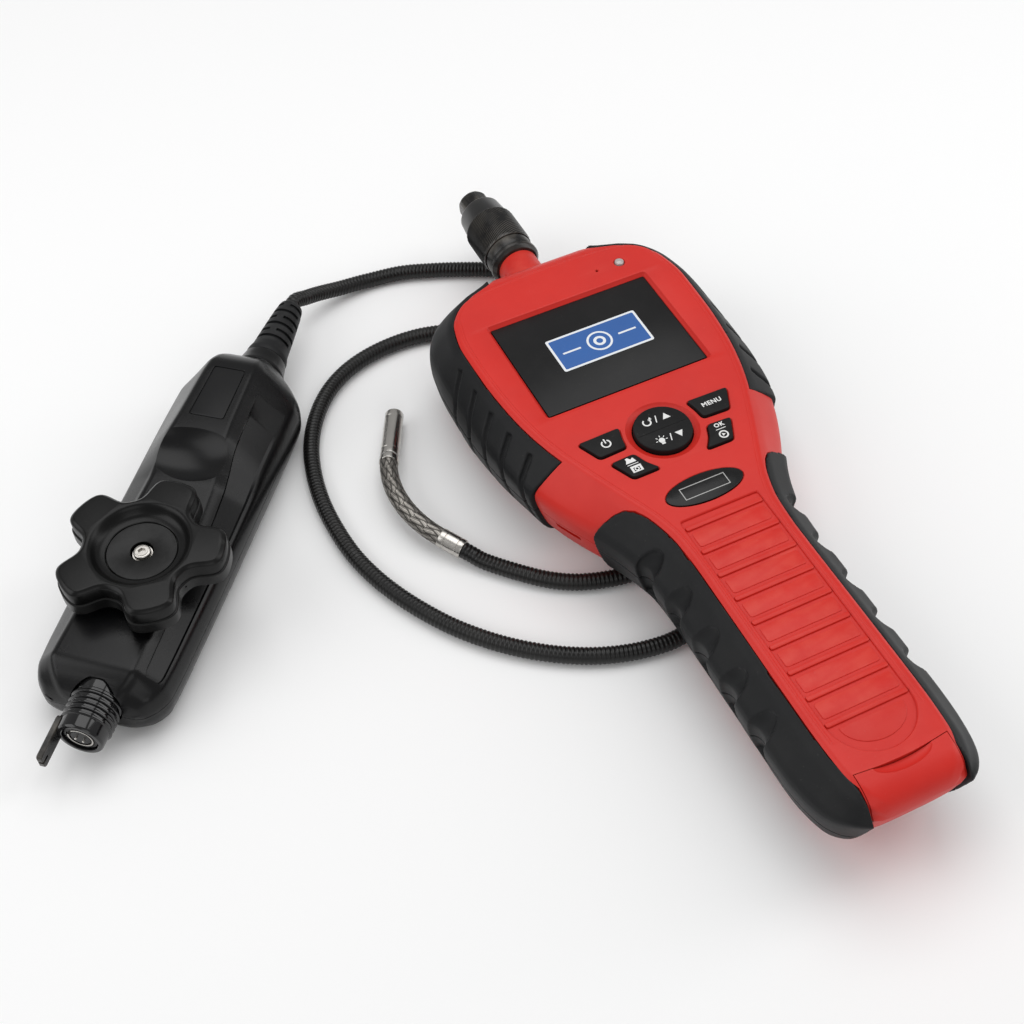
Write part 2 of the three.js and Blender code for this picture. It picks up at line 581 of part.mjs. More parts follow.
// Five-lobed steering knob: skirt, chamfered rim, dished top.
const KNOB_BASE = DECK_Z + 4.7;
const KNOB_TOP = 44;
const LOBES = 5;
const LOBE_TURN = 84;            // first lobe, degrees from the grip's +X
function lobed(d, z0, z1) {
  const points = Array.from({ length: 40 }, (_, i) => {
    const a = i * Math.PI / 20;
    const wave = Math.cos(LOBES * (a - THREE.MathUtils.degToRad(LOBE_TURN)));
    const lift = Math.tanh(1.9 * (wave + 0.28)) / Math.tanh(1.9 * 1.28);
    const r = 27.6 + 5.4 * lift + d;
    return [r * Math.cos(a), r * Math.sin(a)];
  });
  return prism(points, z0, z1);
}
const DISH_R = 19.7;
const DISC_R = 13.4;
const knobBody = cut(
  join(lobed(0, KNOB_BASE, KNOB_BASE + 5.6), lobed(-0.6, KNOB_BASE + 5.6, KNOB_TOP - 1.4),
    lobed(-2, KNOB_TOP - 1.4, KNOB_TOP)),
  lathe([[0, KNOB_TOP - 6.4], [DISC_R + GAP, KNOB_TOP - 6.4], [DISC_R + GAP, KNOB_TOP - 4.6], [15.2, KNOB_TOP - 4.4],
    [18, KNOB_TOP - 2.4], [DISH_R, KNOB_TOP + 0.3], [DISH_R, KNOB_TOP + 4], [0, KNOB_TOP + 4]], 30),
  rod(SHAFT_R + GAP, KNOB_BASE - 2, KNOB_TOP),
);
add("steering_knob", onGrip(knobBody), "black");
const DISC_TOP = KNOB_TOP - 4.8;
add("knob_disc", onGrip(cut(
  lathe([[0, KNOB_TOP - 6.4 + GAP], [DISC_R, KNOB_TOP - 6.4 + GAP], [DISC_R, DISC_TOP - 0.2], [DISC_R - 0.4, DISC_TOP],
    [0, DISC_TOP]], 30),
  rod(4.4, 20, 60, 16))), "black");
add("knob_screw", onGrip(cut(
  lathe([[0, DISC_TOP - 1.6 + GAP], [3.3, DISC_TOP - 1.6 + GAP], [3.3, DISC_TOP - 0.3], [2.9, DISC_TOP],
    [0, DISC_TOP]], 24),
  flats(1.5, 6, DISC_TOP - 0.9, DISC_TOP + 2))), "steel");
add("knob_shaft", onGrip(lathe([[0, 9], [SHAFT_R, 9], [SHAFT_R, DISC_TOP - 1.6], [0, DISC_TOP - 1.6]], 24)), "steel");
const DRUM_Z = [11, 19];
add("wire_drum", onGrip(ring([[SHAFT_R + GAP, DRUM_Z[0]], [15, DRUM_Z[0]], [15, DRUM_Z[0] + 1.2], [13, DRUM_Z[0] + 2.4],
  [13, DRUM_Z[1] - 2.4], [15, DRUM_Z[1] - 1.2], [15, DRUM_Z[1]], [SHAFT_R + GAP, DRUM_Z[1]]], 18)), "brass");

// Plug with thread, seals, contact insert and locating key.
const threadProfile = [[0, PLUG_START + 6], [PLUG_R, PLUG_START + 6], [PLUG_R, PLUG_START - 6]];
const THREADS = 5;
const THREAD_PITCH = 2.3;
for (let i = 0; i < THREADS; i++) {
  const v = PLUG_START - 6.6 - i * THREAD_PITCH;
  threadProfile.push([THREAD_R, v], [THREAD_R, v - 0.7], [9.1, v - 1.2]);
}
threadProfile.push([8.9, PLUG_END + 0.6], [8.4, PLUG_END], [0, PLUG_END]);
const plugBody = cut(lathe(threadProfile, 18), rod(7, PLUG_END - 3, PLUG_END + 3.6),
  box(-11, -8.2, -3.6, 3.6, PLUG_END - 3, PLUG_END + 7));
add("plug_body", onGrip(alongGrip(plugBody)), "gloss");
add("plug_insert", onGrip(alongGrip(join(
  rod(6.7, PLUG_END + 0.9, PLUG_END + 3.6 - GAP, 24),
  ...[-1, 1].map((k) => moved(rod(0.5, PLUG_END - 0.4, PLUG_END + 1.2, 8), 1.7 * k, 0.6 * k, 0)),
))), "black");
const keyPiece = cut(box(-10.9, -8.5, -3.3, 3.3, PLUG_END - 12, PLUG_END + 6.6),
  box(-11.5, -8, -0.6, 0.6, PLUG_END - 14, PLUG_END - 8.5));
add("plug_key", onGrip(alongGrip(keyPiece)), "black");

// Strain relief: stepped seat and ribbed boot.
const seat = ring([[TUBE_D / 2 + 0.6, RELIEF_START + 3], [6.9, RELIEF_START + 3 - 6], [6.9, RELIEF_START + 2.8],
  [RELIEF_SEAT_R, RELIEF_START + 2.8], [RELIEF_SEAT_R - 0.6, RELIEF_START + 5.4], [9.4, BOOT_START - GAP],
  [TUBE_D / 2 + 0.6, BOOT_START - GAP]], 20);
add("relief_seat", onGrip(alongGrip(seat)), "black");
const BOOT_RIBS = 6;
const bootProfile = [[TUBE_D / 2 + 0.6, BOOT_START], [8.9, BOOT_START], [9.1, BOOT_START + 2], [8, BOOT_START + 8]];
for (let i = 0; i < BOOT_RIBS; i++) {
  const v = BOOT_START + 9 + i * 3.9;
  const r = 7.8 - i * 0.42;
  bootProfile.push([r - 0.9, v], [r - 0.9, v + 1.1], [r, v + 1.3]);
}
bootProfile.push([5.1, BOOT_END - 0.4], [4.8, BOOT_END], [TUBE_D / 2 + 0.6, BOOT_END]);
add("strain_relief", onGrip(alongGrip(ring(bootProfile, 12))), "rubber");

// ---------------------------------------------------------------- articulated tip
// Local axes: x forward along the ferrule, y to its left, z normal to the bending plane.
const FERRULE_L = 10.8;
const PITCH = 7.1;               // between vertebra hinges
const HINGES = 7;
const REST_BEND = 9;             // degrees at each hinge
const LINK_GAP = 1.5;
const LEAD = 3;                  // ferrule to the first hinge
const TIP_YAW = -34.13;
const TIP_PITCH = 9;
const TIP_ROLL = 12.47;
const FERRULE_START = new THREE.Vector3(-81.05, -40.28, 5.3).add(HANDSET);
const rad = THREE.MathUtils.degToRad;

function tipFrame() {
  const heading = new THREE.Vector3(Math.sin(rad(TIP_YAW)), Math.cos(rad(TIP_YAW)), 0);
  const up = new THREE.Vector3(0, 0, 1);
  const forward = heading.clone().multiplyScalar(Math.cos(rad(TIP_PITCH)))
    .addScaledVector(up, Math.sin(rad(TIP_PITCH)));
  const right = forward.clone().cross(up).normalize();
  const lift = right.clone().cross(forward);
  const bendSide = right.clone().multiplyScalar(Math.cos(rad(TIP_ROLL)))
    .addScaledVector(lift, -Math.sin(rad(TIP_ROLL)));
  const normal = bendSide.clone().cross(forward);
  return { forward, left: bendSide.negate(), normal };
}
const tip = tipFrame();
const ferruleEnd = FERRULE_START.clone().addScaledVector(tip.forward, FERRULE_L);

// Plan position and heading of each hinge in the bending plane.
const hinges = [];
let at = new THREE.Vector2(LEAD, 0);
let turn = 0;
for (let i = 0; i < HINGES; i++) {
  hinges.push({ at: at.clone(), before: turn, after: turn - REST_BEND });
  turn -= REST_BEND;
  at = at.clone().add(new THREE.Vector2(Math.cos(rad(turn)), Math.sin(rad(turn))).multiplyScalar(PITCH));
}

// Places a solid turned about Z so that its axis runs along the tip from a point in the bending plane.
function onTip(solid, point, heading) {
  const basis = new THREE.Matrix4().makeBasis(tip.forward, tip.left, tip.normal).setPosition(ferruleEnd);
  const local = new THREE.Matrix4().makeTranslation(point.x, point.y, 0)
    .multiply(new THREE.Matrix4().makeRotationZ(rad(heading)))
    .multiply(new THREE.Matrix4().makeRotationY(Math.PI / 2));
  return solid.transform(basis.multiply(local).elements);
}

const FERRULE_R = 4.05;
const BORE_R = 2.6;
const origin2 = new THREE.Vector2(0, 0);
add("ferrule", onTip(ring([[BORE_R, -FERRULE_L], [FERRULE_R - 0.25, -FERRULE_L], [FERRULE_R, -FERRULE_L + 0.3],
  [FERRULE_R, -0.3], [3.85, 0.2], [3.8, LEAD - LINK_GAP / 2], [BORE_R, LEAD - LINK_GAP / 2]], 16), origin2, 0), "steel");
const LINK_R = 3.8;
for (let i = 0; i + 1 < HINGES; i++) {
  const [z0, z1] = [LINK_GAP / 2, PITCH - LINK_GAP / 2];
  const piece = ring([[BORE_R, z0], [LINK_R, z0], [LINK_R, z1], [BORE_R, z1]], 16);
  add(`braid_link_${i + 1}`, onTip(piece, hinges[i].at, hinges[i].after), "braid");
}
const last = hinges[HINGES - 1];
const COLLAR_L = 3.4;
const HEAD_L = 28.6;
const HEAD_R = HEAD_D / 2;
add("head_collar", onTip(ring([[BORE_R, LINK_GAP / 2], [3.8, LINK_GAP / 2], [4.15, LEAD - 1.4], [4.15, LEAD + 1],
  [3.9, LEAD + 1.6], [BORE_R, LEAD + 1.6]], 16), last.at, last.after), "steel");
const HEAD_START = LEAD + 1.6 + GAP;
const HEAD_END = LEAD + HEAD_L;
add("camera_head", onTip(cut(
  lathe([[0, HEAD_START], [3.9, HEAD_START], [HEAD_R, HEAD_START + 0.3], [HEAD_R, HEAD_END - 0.4], [3.7, HEAD_END],
    [0, HEAD_END]], 20),
  rod(3.2, HEAD_END - 1.3, HEAD_END + 2, 20)), last.at, last.after), "steel");
add("head_lens", onTip(lathe([[0, HEAD_END - 1.3 + GAP], [2.9, HEAD_END - 1.3 + GAP], [2.9, HEAD_END - 0.35],
  [0, HEAD_END - 0.2]], 24), last.at, last.after), "lens");

// ---------------------------------------------------------------- probe tube
// Lying centreline from the boot to the ferrule, plan from the screen centre and height above the surface.
const LIE = TUBE_D / 2 + 0.02;
const ROUTE = [
  [-86.6, 117.2, 12.8], [-81, 119.8, 10.2], [-75, 121.6, 7.9], [-68.4, 123, 5.8], [-61, 123.9, 4.4],
  [-53.2, 124, LIE], [-39, 121.8, LIE], [-26, 117, LIE], [-13.4, 111.2, LIE], [-1.5, 104.8, LIE],
  [11, 96.6, LIE], [24, 86, LIE], [36.4, 72.6, LIE], [47, 56.8, LIE], [54.9, 38.6, LIE], [59.4, 19, LIE],
  [60.8, -2, LIE], [58.8, -23, LIE], [53.4, -43.5, LIE], [44.6, -63, LIE], [32.6, -80.6, LIE],
  [17.6, -95.6, LIE], [0.8, -106.8, LIE], [-13.6, -112.8, LIE], [-26.8, -115, LIE], [-35.6, -114.4, LIE],
  [-45, -112.4, LIE], [-56, -108.4, LIE], [-66, -103.1, LIE], [-75.3, -96.7, LIE], [-84.1, -89.2, LIE],
  [-92.4, -80.5, LIE], [-100.2, -70.5, LIE], [-107.4, -58.6, LIE], [-113.2, -46.8, LIE], [-117.6, -35, LIE],
  [-120.8, -22, LIE], [-122.3, -7, LIE], [-122.2, 9, LIE], [-120, 24.3, LIE], [-115.6, 39.3, LIE],
  [-109.2, 52, LIE], [-101.2, 62.6, LIE], [-92.2, 70.6, LIE], [-82, 76.2, LIE], [-70.9, 79.5, LIE],
  [-59, 80.8, LIE], [-49.5, 80.3, LIE], [-43, 79, LIE], [-30, 74.6, LIE], [-16, 67.4, LIE], [-2.6, 57.4, LIE],
  [9.6, 44.6, LIE], [19.6, 29.6, LIE], [26.8, 12.6, LIE], [30.4, -5.4, LIE], [30, -23.4, LIE],
  [25.6, -40.4, LIE], [17.4, -55.4, LIE], [6.4, -67.4, LIE], [-6, -75.6, LIE], [-17.4, -79.4, LIE],
  [-28.5, -79.6, LIE], [-39, -77.2, LIE], [-48.2, -73.5, LIE], [-56.3, -68.2, LIE], [-63.6, -61.6, 3.65],
];

function probeTube() {
  const bootEnd = new THREE.Vector3(0, BOOT_END, AXIS_H).applyAxisAngle(new THREE.Vector3(0, 0, 1), rad(GRIP_TURN))
    .add(KNOB_AT);
  const away = new THREE.Vector3(0, 1, 0).applyAxisAngle(new THREE.Vector3(0, 0, 1), rad(GRIP_TURN));
  const points = [
    bootEnd.clone().addScaledVector(away, GAP),
    bootEnd.clone().addScaledVector(away, 4.5),
    ...ROUTE.map(([x, y, z]) => new THREE.Vector3(x, y, z).add(HANDSET)),
    FERRULE_START.clone().addScaledVector(tip.forward, -9),
    FERRULE_START.clone().addScaledVector(tip.forward, -4),
    FERRULE_START.clone().addScaledVector(tip.forward, -GAP),
  ];
  const curve = new THREE.CatmullRomCurve3(points, false, "centripetal");
  const section = new THREE.Shape(arc(0, 0, TUBE_D / 2, 0, 315, 7).map(([x, y]) => new THREE.Vector2(x, y)));
  return toSolid(new THREE.ExtrudeGeometry(section, { steps: 80, bevelEnabled: false, extrudePath: curve }));
}
add("probe_tube", probeTube(), "tube");

export default group;
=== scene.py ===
"""Looks of an articulating inspection camera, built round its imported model.

A red handheld monitor with black rubber grips lies on the ribbed probe tube of a separate black grip.
The grip carries a five-lobed steering knob, and the probe ends in a braided steel section and a camera head.
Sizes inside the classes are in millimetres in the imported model's frame; meshes are written in metres.
"""

import json
import logging
import math
from dataclasses import dataclass
from enum import Enum

import bmesh
import bpy
from mathutils import Matrix, Vector

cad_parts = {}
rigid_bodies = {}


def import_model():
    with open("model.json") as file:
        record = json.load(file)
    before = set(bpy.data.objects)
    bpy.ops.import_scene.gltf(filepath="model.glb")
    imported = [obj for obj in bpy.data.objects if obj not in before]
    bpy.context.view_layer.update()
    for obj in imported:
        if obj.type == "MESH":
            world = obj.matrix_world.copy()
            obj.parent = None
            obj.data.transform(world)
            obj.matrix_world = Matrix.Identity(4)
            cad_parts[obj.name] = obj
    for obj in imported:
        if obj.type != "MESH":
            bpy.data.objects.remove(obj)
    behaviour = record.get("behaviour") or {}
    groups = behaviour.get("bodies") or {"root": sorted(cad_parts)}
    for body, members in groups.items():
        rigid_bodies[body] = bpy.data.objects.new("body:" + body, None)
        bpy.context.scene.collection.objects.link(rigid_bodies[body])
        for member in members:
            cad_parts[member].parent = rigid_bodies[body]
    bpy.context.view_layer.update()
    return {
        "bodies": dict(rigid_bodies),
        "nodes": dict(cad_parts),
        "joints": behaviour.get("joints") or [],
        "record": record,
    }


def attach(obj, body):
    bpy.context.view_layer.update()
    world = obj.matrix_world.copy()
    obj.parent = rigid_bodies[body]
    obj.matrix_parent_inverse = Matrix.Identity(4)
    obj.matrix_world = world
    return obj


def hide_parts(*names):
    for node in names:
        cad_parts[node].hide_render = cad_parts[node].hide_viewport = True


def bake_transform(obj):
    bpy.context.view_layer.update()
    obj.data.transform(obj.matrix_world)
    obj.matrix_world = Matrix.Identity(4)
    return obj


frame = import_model()

LOG = logging.getLogger("inspection_camera")
Point = tuple[float, float, float]
Plan = list[tuple[float, float]]
Socket = bpy.types.NodeSocket
FLOAT = "NodeSocketFloat"

MM = 0.001
HANDSET = Vector((98.62, 53.62, 0.0))
KNOB_AT = Vector((-99.58, 43.72, 0.0))
GRIP_TURN = -40.4
AXIS_H = 16.0
TUBE_D = 7.0
REAR_Z = 7.3
FACE_Z = 49.0
CASE_T = FACE_Z - REAR_Z
PARTING_Z = REAR_Z + CASE_T * 0.432
SOCKET_Z = REAR_Z + CASE_T * 0.508
GAP = 0.3
PLACE = Matrix.Translation(HANDSET)


class Carve(Enum):
    """What a set of tools does to a solid."""

    CUT = "DIFFERENCE"
    KEEP = "INTERSECT"
    JOIN = "UNION"


class Side(Enum):
    """Sides of the handset, seen with its screen up and its connector away."""

    LEFT = -1
    RIGHT = 1


def placed(name: str, data: bpy.types.ID) -> bpy.types.Object:
    """A new object in the scene."""
    thing = bpy.data.objects.new(name, data)
    bpy.context.scene.collection.objects.link(thing)
    return thing


# ---------------------------------------------------------------- plan curves
def arc(cx: float, cy: float, r: float, start: float, end: float, steps: int) -> Plan:
    """Points of an arc in plan, angles in degrees."""
    turns = [math.radians(start + (end - start) * i / steps) for i in range(steps + 1)]
    return [(cx + r * math.cos(a), cy + r * math.sin(a)) for a in turns]


def rounded(corners: Plan, radius: float, steps: int = 5) -> Plan:
    """Rounds every corner of a closed plan outline.

    Args:
        corners: outline points, counter-clockwise or clockwise.
        radius: fillet radius, made smaller where an edge is too short for it.
        steps: segments in each fillet.

    Returns:
        The outline with a curve in place of each corner.
    """
    outline: Plan = []
    for i, corner in enumerate(corners):
        here = Vector(corner)
        before = Vector(corners[i - 1]) - here
        after = Vector(corners[(i + 1) % len(corners)]) - here
        reach = min(radius, before.length * 0.45, after.length * 0.45)
        a, b = here + before.normalized() * reach, here + after.normalized() * reach
        for k in range(steps + 1):
            t = k / steps
            point = a * (1 - t) ** 2 + here * 2 * t * (1 - t) + b * t * t
            outline.append((point.x, point.y))
    return outline


def grown(outline: Plan, amount: float) -> Plan:
    """Moves a closed counter-clockwise outline outwards by an amount, along its corner normals."""
    moved: Plan = []
    for i, point in enumerate(outline):
        before, after = outline[i - 1], outline[(i + 1) % len(outline)]
        first = Vector((point[0] - before[0], point[1] - before[1])).normalized()
        second = Vector((after[0] - point[0], after[1] - point[1])).normalized()
        normal = Vector((first.y + second.y, -first.x - second.x)).normalized()
        reach = amount / max(0.5, normal.x * first.y - normal.y * first.x)
        moved.append((point[0] + normal.x * reach, point[1] + normal.y * reach))
    return moved


def polygon(r: float, sides: int, turn: float = 0.0) -> Plan:
    """Corners of a regular polygon, turned by a share of one side."""
    turns = [math.tau * (i + turn) / sides for i in range(sides)]
    return [(r * math.cos(a), r * math.sin(a)) for a in turns]


def mirrored(outline: Plan) -> Plan:
    """The same outline on the other side of X = 0, still counter-clockwise."""
    return [(-x, y) for x, y in reversed(outline)]


def rectangle(x0: float, x1: float, y0: float, y1: float) -> Plan:
    """A counter-clockwise rectangle."""
    return [(x0, y0), (x1, y0), (x1, y1), (x0, y1)]


def splined(rows: list[tuple[float, ...]], step: float) -> list[tuple[float, ...]]:
    """Reads a table of stations along a smooth curve that keeps to the rows and never overshoots them.

    Args:
        rows: rows of (station, value, value, ...) with rising stations.
        step: largest distance between the stations returned.

    Returns:
        More rows of the same kind.
    """
    def slope(i: int, k: int) -> float:
        """Slope of one value at a row, flat where it turns round."""
        if i in (0, len(rows) - 1):
            j = min(i, len(rows) - 2)
            return (rows[j + 1][k] - rows[j][k]) / (rows[j + 1][0] - rows[j][0])
        low = (rows[i][k] - rows[i - 1][k]) / (rows[i][0] - rows[i - 1][0])
        high = (rows[i + 1][k] - rows[i][k]) / (rows[i + 1][0] - rows[i][0])
        return 0.0 if low * high <= 0 else 2 * low * high / (low + high)

    out = []
    for i in range(len(rows) - 1):
        a, b = rows[i], rows[i + 1]
        span = b[0] - a[0]
        parts = max(1, math.ceil(span / step))
        for part in range(parts):
            t = part / parts
            h00, h10 = 2 * t**3 - 3 * t**2 + 1, t**3 - 2 * t**2 + t
            h01, h11 = -2 * t**3 + 3 * t**2, t**3 - t**2
            values = [
                h00 * a[k] + h10 * span * slope(i, k) + h01 * b[k] + h11 * span * slope(i + 1, k)
                for k in range(1, len(a))
            ]
            out.append((a[0] + span * t, *values))
    out.append(rows[-1])
    return out


def through(points: list[Vector], step: float) -> list[Vector]:
    """A smooth line through points, as a centripetal Catmull-Rom curve, in steps of a set length.

    Args:
        points: points the line passes through.
        step: distance between the points returned.

    Returns:
        Evenly spaced points, the first and last of the given ones included.
    """
    padded = [points[0] * 2 - points[1], *points, points[-1] * 2 - points[-2]]
    fine: list[Vector] = []
    for a, b, c, d in zip(padded, padded[1:], padded[2:], padded[3:]):
        t1 = (b - a).length ** 0.5
        t2 = t1 + (c - b).length ** 0.5
        t3 = t2 + (d - c).length ** 0.5
        for k in range(16):
            t = t1 + (t2 - t1) * k / 16
            ab = a * ((t1 - t) / t1) + b * (t / t1)
            bc = b * ((t2 - t) / (t2 - t1)) + c * ((t - t1) / (t2 - t1))
            cd = c * ((t3 - t) / (t3 - t2)) + d * ((t - t2) / (t3 - t2))
            abc = ab * ((t2 - t) / t2) + bc * (t / t2)
            bcd = bc * ((t3 - t) / (t3 - t1)) + cd * ((t - t1) / (t3 - t1))
            fine.append(abc * ((t2 - t) / (t2 - t1)) + bcd * ((t - t1) / (t2 - t1)))
    fine.append(points[-1])
    lengths = [0.0]
    for a, b in zip(fine, fine[1:]):
        lengths.append(lengths[-1] + (b - a).length)
    count = max(1, round(lengths[-1] / step))
    even, at = [], 0
    for k in range(count + 1):
        goal = lengths[-1] * k / count
        while at < len(lengths) - 2 and lengths[at + 1] < goal:
            at += 1
        share = (goal - lengths[at]) / max(1e-9, lengths[at + 1] - lengths[at])
        even.append(fine[at].lerp(fine[at + 1], min(1.0, share)))
    return even


# ---------------------------------------------------------------- solids
class Solid:
    """A closed mesh under construction, in millimetres."""

    def __init__(self, bm: bmesh.types.BMesh) -> None:
        """Wraps a mesh that is already closed."""
        self.bm = bm

    @classmethod
    def loft(cls, rings: list[list[Point]], closed: bool = False, mapped: bool = False) -> "Solid":
        """Skin through rings that have the same number of points.

        Args:
            rings: rings of points, in order along the shape.
            closed: whether the last ring joins the first instead of both being capped.
            mapped: whether it gets a UV map that runs round it and along it.

        Returns:
            The closed solid.
        """
        rows, count = len(rings) + int(closed), len(rings[0])
        bm = bmesh.new()
        if mapped:
            bm.loops.layers.uv.new("UVMap")
        bmesh.ops.create_grid(bm, x_segments=count, y_segments=rows - 1, size=1.0, calc_uvs=mapped)
        for vert in bm.verts:
            column = round((vert.co.x + 1) / 2 * count) % count
            row = round((vert.co.y + 1) / 2 * (rows - 1)) % len(rings)
            vert.co = Vector(rings[row][column])
        bmesh.ops.remove_doubles(bm, verts=bm.verts, dist=1e-5)
        rim = [edge for edge in bm.edges if edge.is_boundary]
        if rim:
            bmesh.ops.holes_fill(bm, edges=rim, sides=0)
        bmesh.ops.recalc_face_normals(bm, faces=bm.faces)
        return cls(bm)

    @classmethod
    def stack(cls, levels: list[tuple[Plan, float]]) -> "Solid":
        """Plan outlines with the same number of points, each at its own height."""
        return cls.loft([[(x, y, z) for x, y in outline] for outline, z in levels])

    @classmethod
    def prism(cls, outline: Plan, low: float, high: float) -> "Solid":
        """An outline pulled straight up from one height to another."""
        return cls.stack([(outline, low), (outline, high)])

    @classmethod
    def block(cls, low: Point, high: Point) -> "Solid":
        """A rectangular block between two corners."""
        bm = bmesh.new()
        size = Vector(high) - Vector(low)
        place = Matrix.Translation((Vector(high) + Vector(low)) / 2) @ Matrix.Diagonal((*size, 1.0))
        bmesh.ops.create_cube(bm, size=1.0, matrix=place)
        return cls(bm)

    @classmethod
    def bar(cls, radius: float, low: float, high: float, steps: int = 64) -> "Solid":
        """Round bar about Z."""
        return cls.turned([(0, low), (radius, low), (radius, high), (0, high)], steps)

    @classmethod
    def turned(cls, profile: Plan, steps: int = 64, hollow: bool = False) -> "Solid":
        """Solid of revolution about Z.

        Args:
            profile: points of (radius, height).
            steps: segments round the axis.
            hollow: whether the profile is a closed loop clear of the axis.

        Returns:
            The turned solid.
        """
        bm = bmesh.new()
        verts = [bm.verts.new((r, 0.0, z)) for r, z in profile]
        pairs = list(zip(verts, verts[1:])) + ([(verts[-1], verts[0])] if hollow else [])
        edges = [bm.edges.new(pair) for pair in pairs]
        bmesh.ops.spin(
            bm, geom=verts + edges, cent=(0, 0, 0), axis=(0, 0, 1), dvec=(0, 0, 0),
            angle=math.tau, steps=steps, use_merge=True, use_duplicate=False,
        )
        bmesh.ops.remove_doubles(bm, verts=bm.verts, dist=1e-4)
        bmesh.ops.recalc_face_normals(bm, faces=bm.faces)
        return cls(bm)

    @classmethod
    def swept(
        cls, path: list[Vector], radii: list[float], sides: int, flat: float = 1.0, level: Point = (0, 0, 1),
    ) -> "Solid":
        """Round or oval bar along a path.

        Args:
            path: centreline.
            radii: radius at each point of the path, square to the level direction.
            sides: points round the bar.
            flat: radius along the level direction as a share of the other.
            level: direction that the path never runs along.

        Returns:
            The bar.
        """
        rings = []
        for i, point in enumerate(path):
            ahead = (path[min(i + 1, len(path) - 1)] - path[max(i - 1, 0)]).normalized()
            side = ahead.cross(Vector(level)).normalized()
            up = side.cross(ahead) * flat
            turns = [math.tau * k / sides for k in range(sides)]
            rings.append([tuple(point + (side * math.cos(a) + up * math.sin(a)) * radii[i]) for a in turns])
        return cls.loft(rings)

    def moved(self, matrix: Matrix) -> "Solid":
        """The solid after a transform, with its faces kept outwards."""
        self.bm.transform(matrix)
        if matrix.determinant() < 0:
            bmesh.ops.reverse_faces(self.bm, faces=self.bm.faces)
        return self

    def at(self, x: float, y: float, z: float) -> "Solid":
        """The solid shifted by a vector."""
        return self.moved(Matrix.Translation((x, y, z)))

    def as_object(self, name: str) -> bpy.types.Object:
        """A scene object with a copy of the mesh, still in millimetres."""
        mesh = bpy.data.meshes.new(name)
        self.bm.to_mesh(mesh)
        return placed(name, mesh)

    def _evaluated(self, thing: bpy.types.Object, helpers: list[bpy.types.Object]) -> "Solid":
        """Reads an object with its modifiers applied, then removes it and its helpers."""
        graph = bpy.context.evaluated_depsgraph_get()
        mesh = bpy.data.meshes.new_from_object(thing.evaluated_get(graph))
        bm = bmesh.new()
        bm.from_mesh(mesh)
        for spare in [thing, *helpers]:
            data = spare.data
            bpy.data.objects.remove(spare)
            bpy.data.meshes.remove(data)
        bpy.data.meshes.remove(mesh)
        return Solid(bm)

    def carved(self, how: Carve, *tools: "Solid") -> "Solid":
        """The solid after each tool has cut it, kept a part of it or joined it."""
        thing = self.as_object("work")
        helpers = [tool.as_object("tool") for tool in tools]
        for helper in helpers:
            modifier = thing.modifiers.new("carve", "BOOLEAN")
            modifier.operation = how.value
            modifier.solver = "MANIFOLD"
            modifier.object = helper
        return self._evaluated(thing, helpers)

    def cut(self, *tools: "Solid") -> "Solid":
        """The solid without the tools' space."""
        return self.carved(Carve.CUT, *tools)

    def kept(self, *tools: "Solid") -> "Solid":
        """The part of the solid inside every tool."""
        return self.carved(Carve.KEEP, *tools)

    def joined(self, *tools: "Solid") -> "Solid":
        """The solid and the tools as one body."""
        return self.carved(Carve.JOIN, *tools)

    def cast(self, voxel: float, passes: int) -> "Solid":
        """The solid recast on an even grid and smoothed, which rounds its edges like moulded rubber."""
        thing = self.as_object("work")
        modifier = thing.modifiers.new("cast", "REMESH")
        modifier.mode = "VOXEL"
        modifier.voxel_size = voxel
        solid = self._evaluated(thing, [])
        for _ in range(passes):
            bmesh.ops.smooth_vert(
                solid.bm, verts=solid.bm.verts, factor=0.5,
                use_axis_x=True, use_axis_y=True, use_axis_z=True,
            )
        return solid

    @classmethod
    def grouped(cls, parts: list["Solid"]) -> "Solid":
        """Separate solids side by side in one mesh."""
        for other in parts[1:]:
            mesh = bpy.data.meshes.new("island")
            other.bm.to_mesh(mesh)
            parts[0].bm.from_mesh(mesh)
            bpy.data.meshes.remove(mesh)
        return parts[0]


def pocket(outline: Plan, floor: float, lip: float, top: float = FACE_Z) -> Solid:
    """A cutting tool for a recess with a chamfered mouth.

    Args:
        outline: plan of the recess.
        floor: height of its floor.
        lip: size of the chamfer at its mouth.
        top: height of the surface that it is cut in.

    Returns:
        The tool.
    """
    return Solid.stack([
        (outline, floor), (outline, top - lip), (grown(outline, lip + 0.02), top + 0.02),
        (grown(outline, lip + 0.02), top + 6),
    ])


def pad(outline: Plan, low: float, top: float, edge: float) -> Solid:
    """A raised pad with a rounded upper edge."""
    return Solid.stack([
        (outline, low), (outline, top - edge), (grown(outline, -0.3 * edge), top - 0.3 * edge),
        (grown(outline, -edge), top),
    ])


def along_y(solid: Solid, height: float) -> Solid:
    """Turns a shape made about Z so that its axis runs along +Y at a height."""
    return solid.moved(Matrix.Translation((0, 0, height)) @ Matrix.Rotation(-math.pi / 2, 4, "X"))


# ---------------------------------------------------------------- shader groups
def new_group(name: str, inputs: dict[str, tuple[str, object]], outputs: dict[str, str]) -> bpy.types.NodeTree:
    """An empty shader node group with named sockets.

    Args:
        name: name of the group.
        inputs: socket type and default value of each input, by name.
        outputs: socket type of each output, by name.

    Returns:
        The group, with its input and output nodes inside.
    """
    tree = bpy.data.node_groups.new(name, "ShaderNodeTree")
    for label, (kind, value) in inputs.items():
        socket = tree.interface.new_socket(label, in_out="INPUT", socket_type=kind)
        if value is not None:
            socket.default_value = value
    for label, kind in outputs.items():
        tree.interface.new_socket(label, in_out="OUTPUT", socket_type=kind)
    tree.nodes.new("NodeGroupInput").name = "in"
    tree.nodes.new("NodeGroupOutput").name = "out"
    return tree


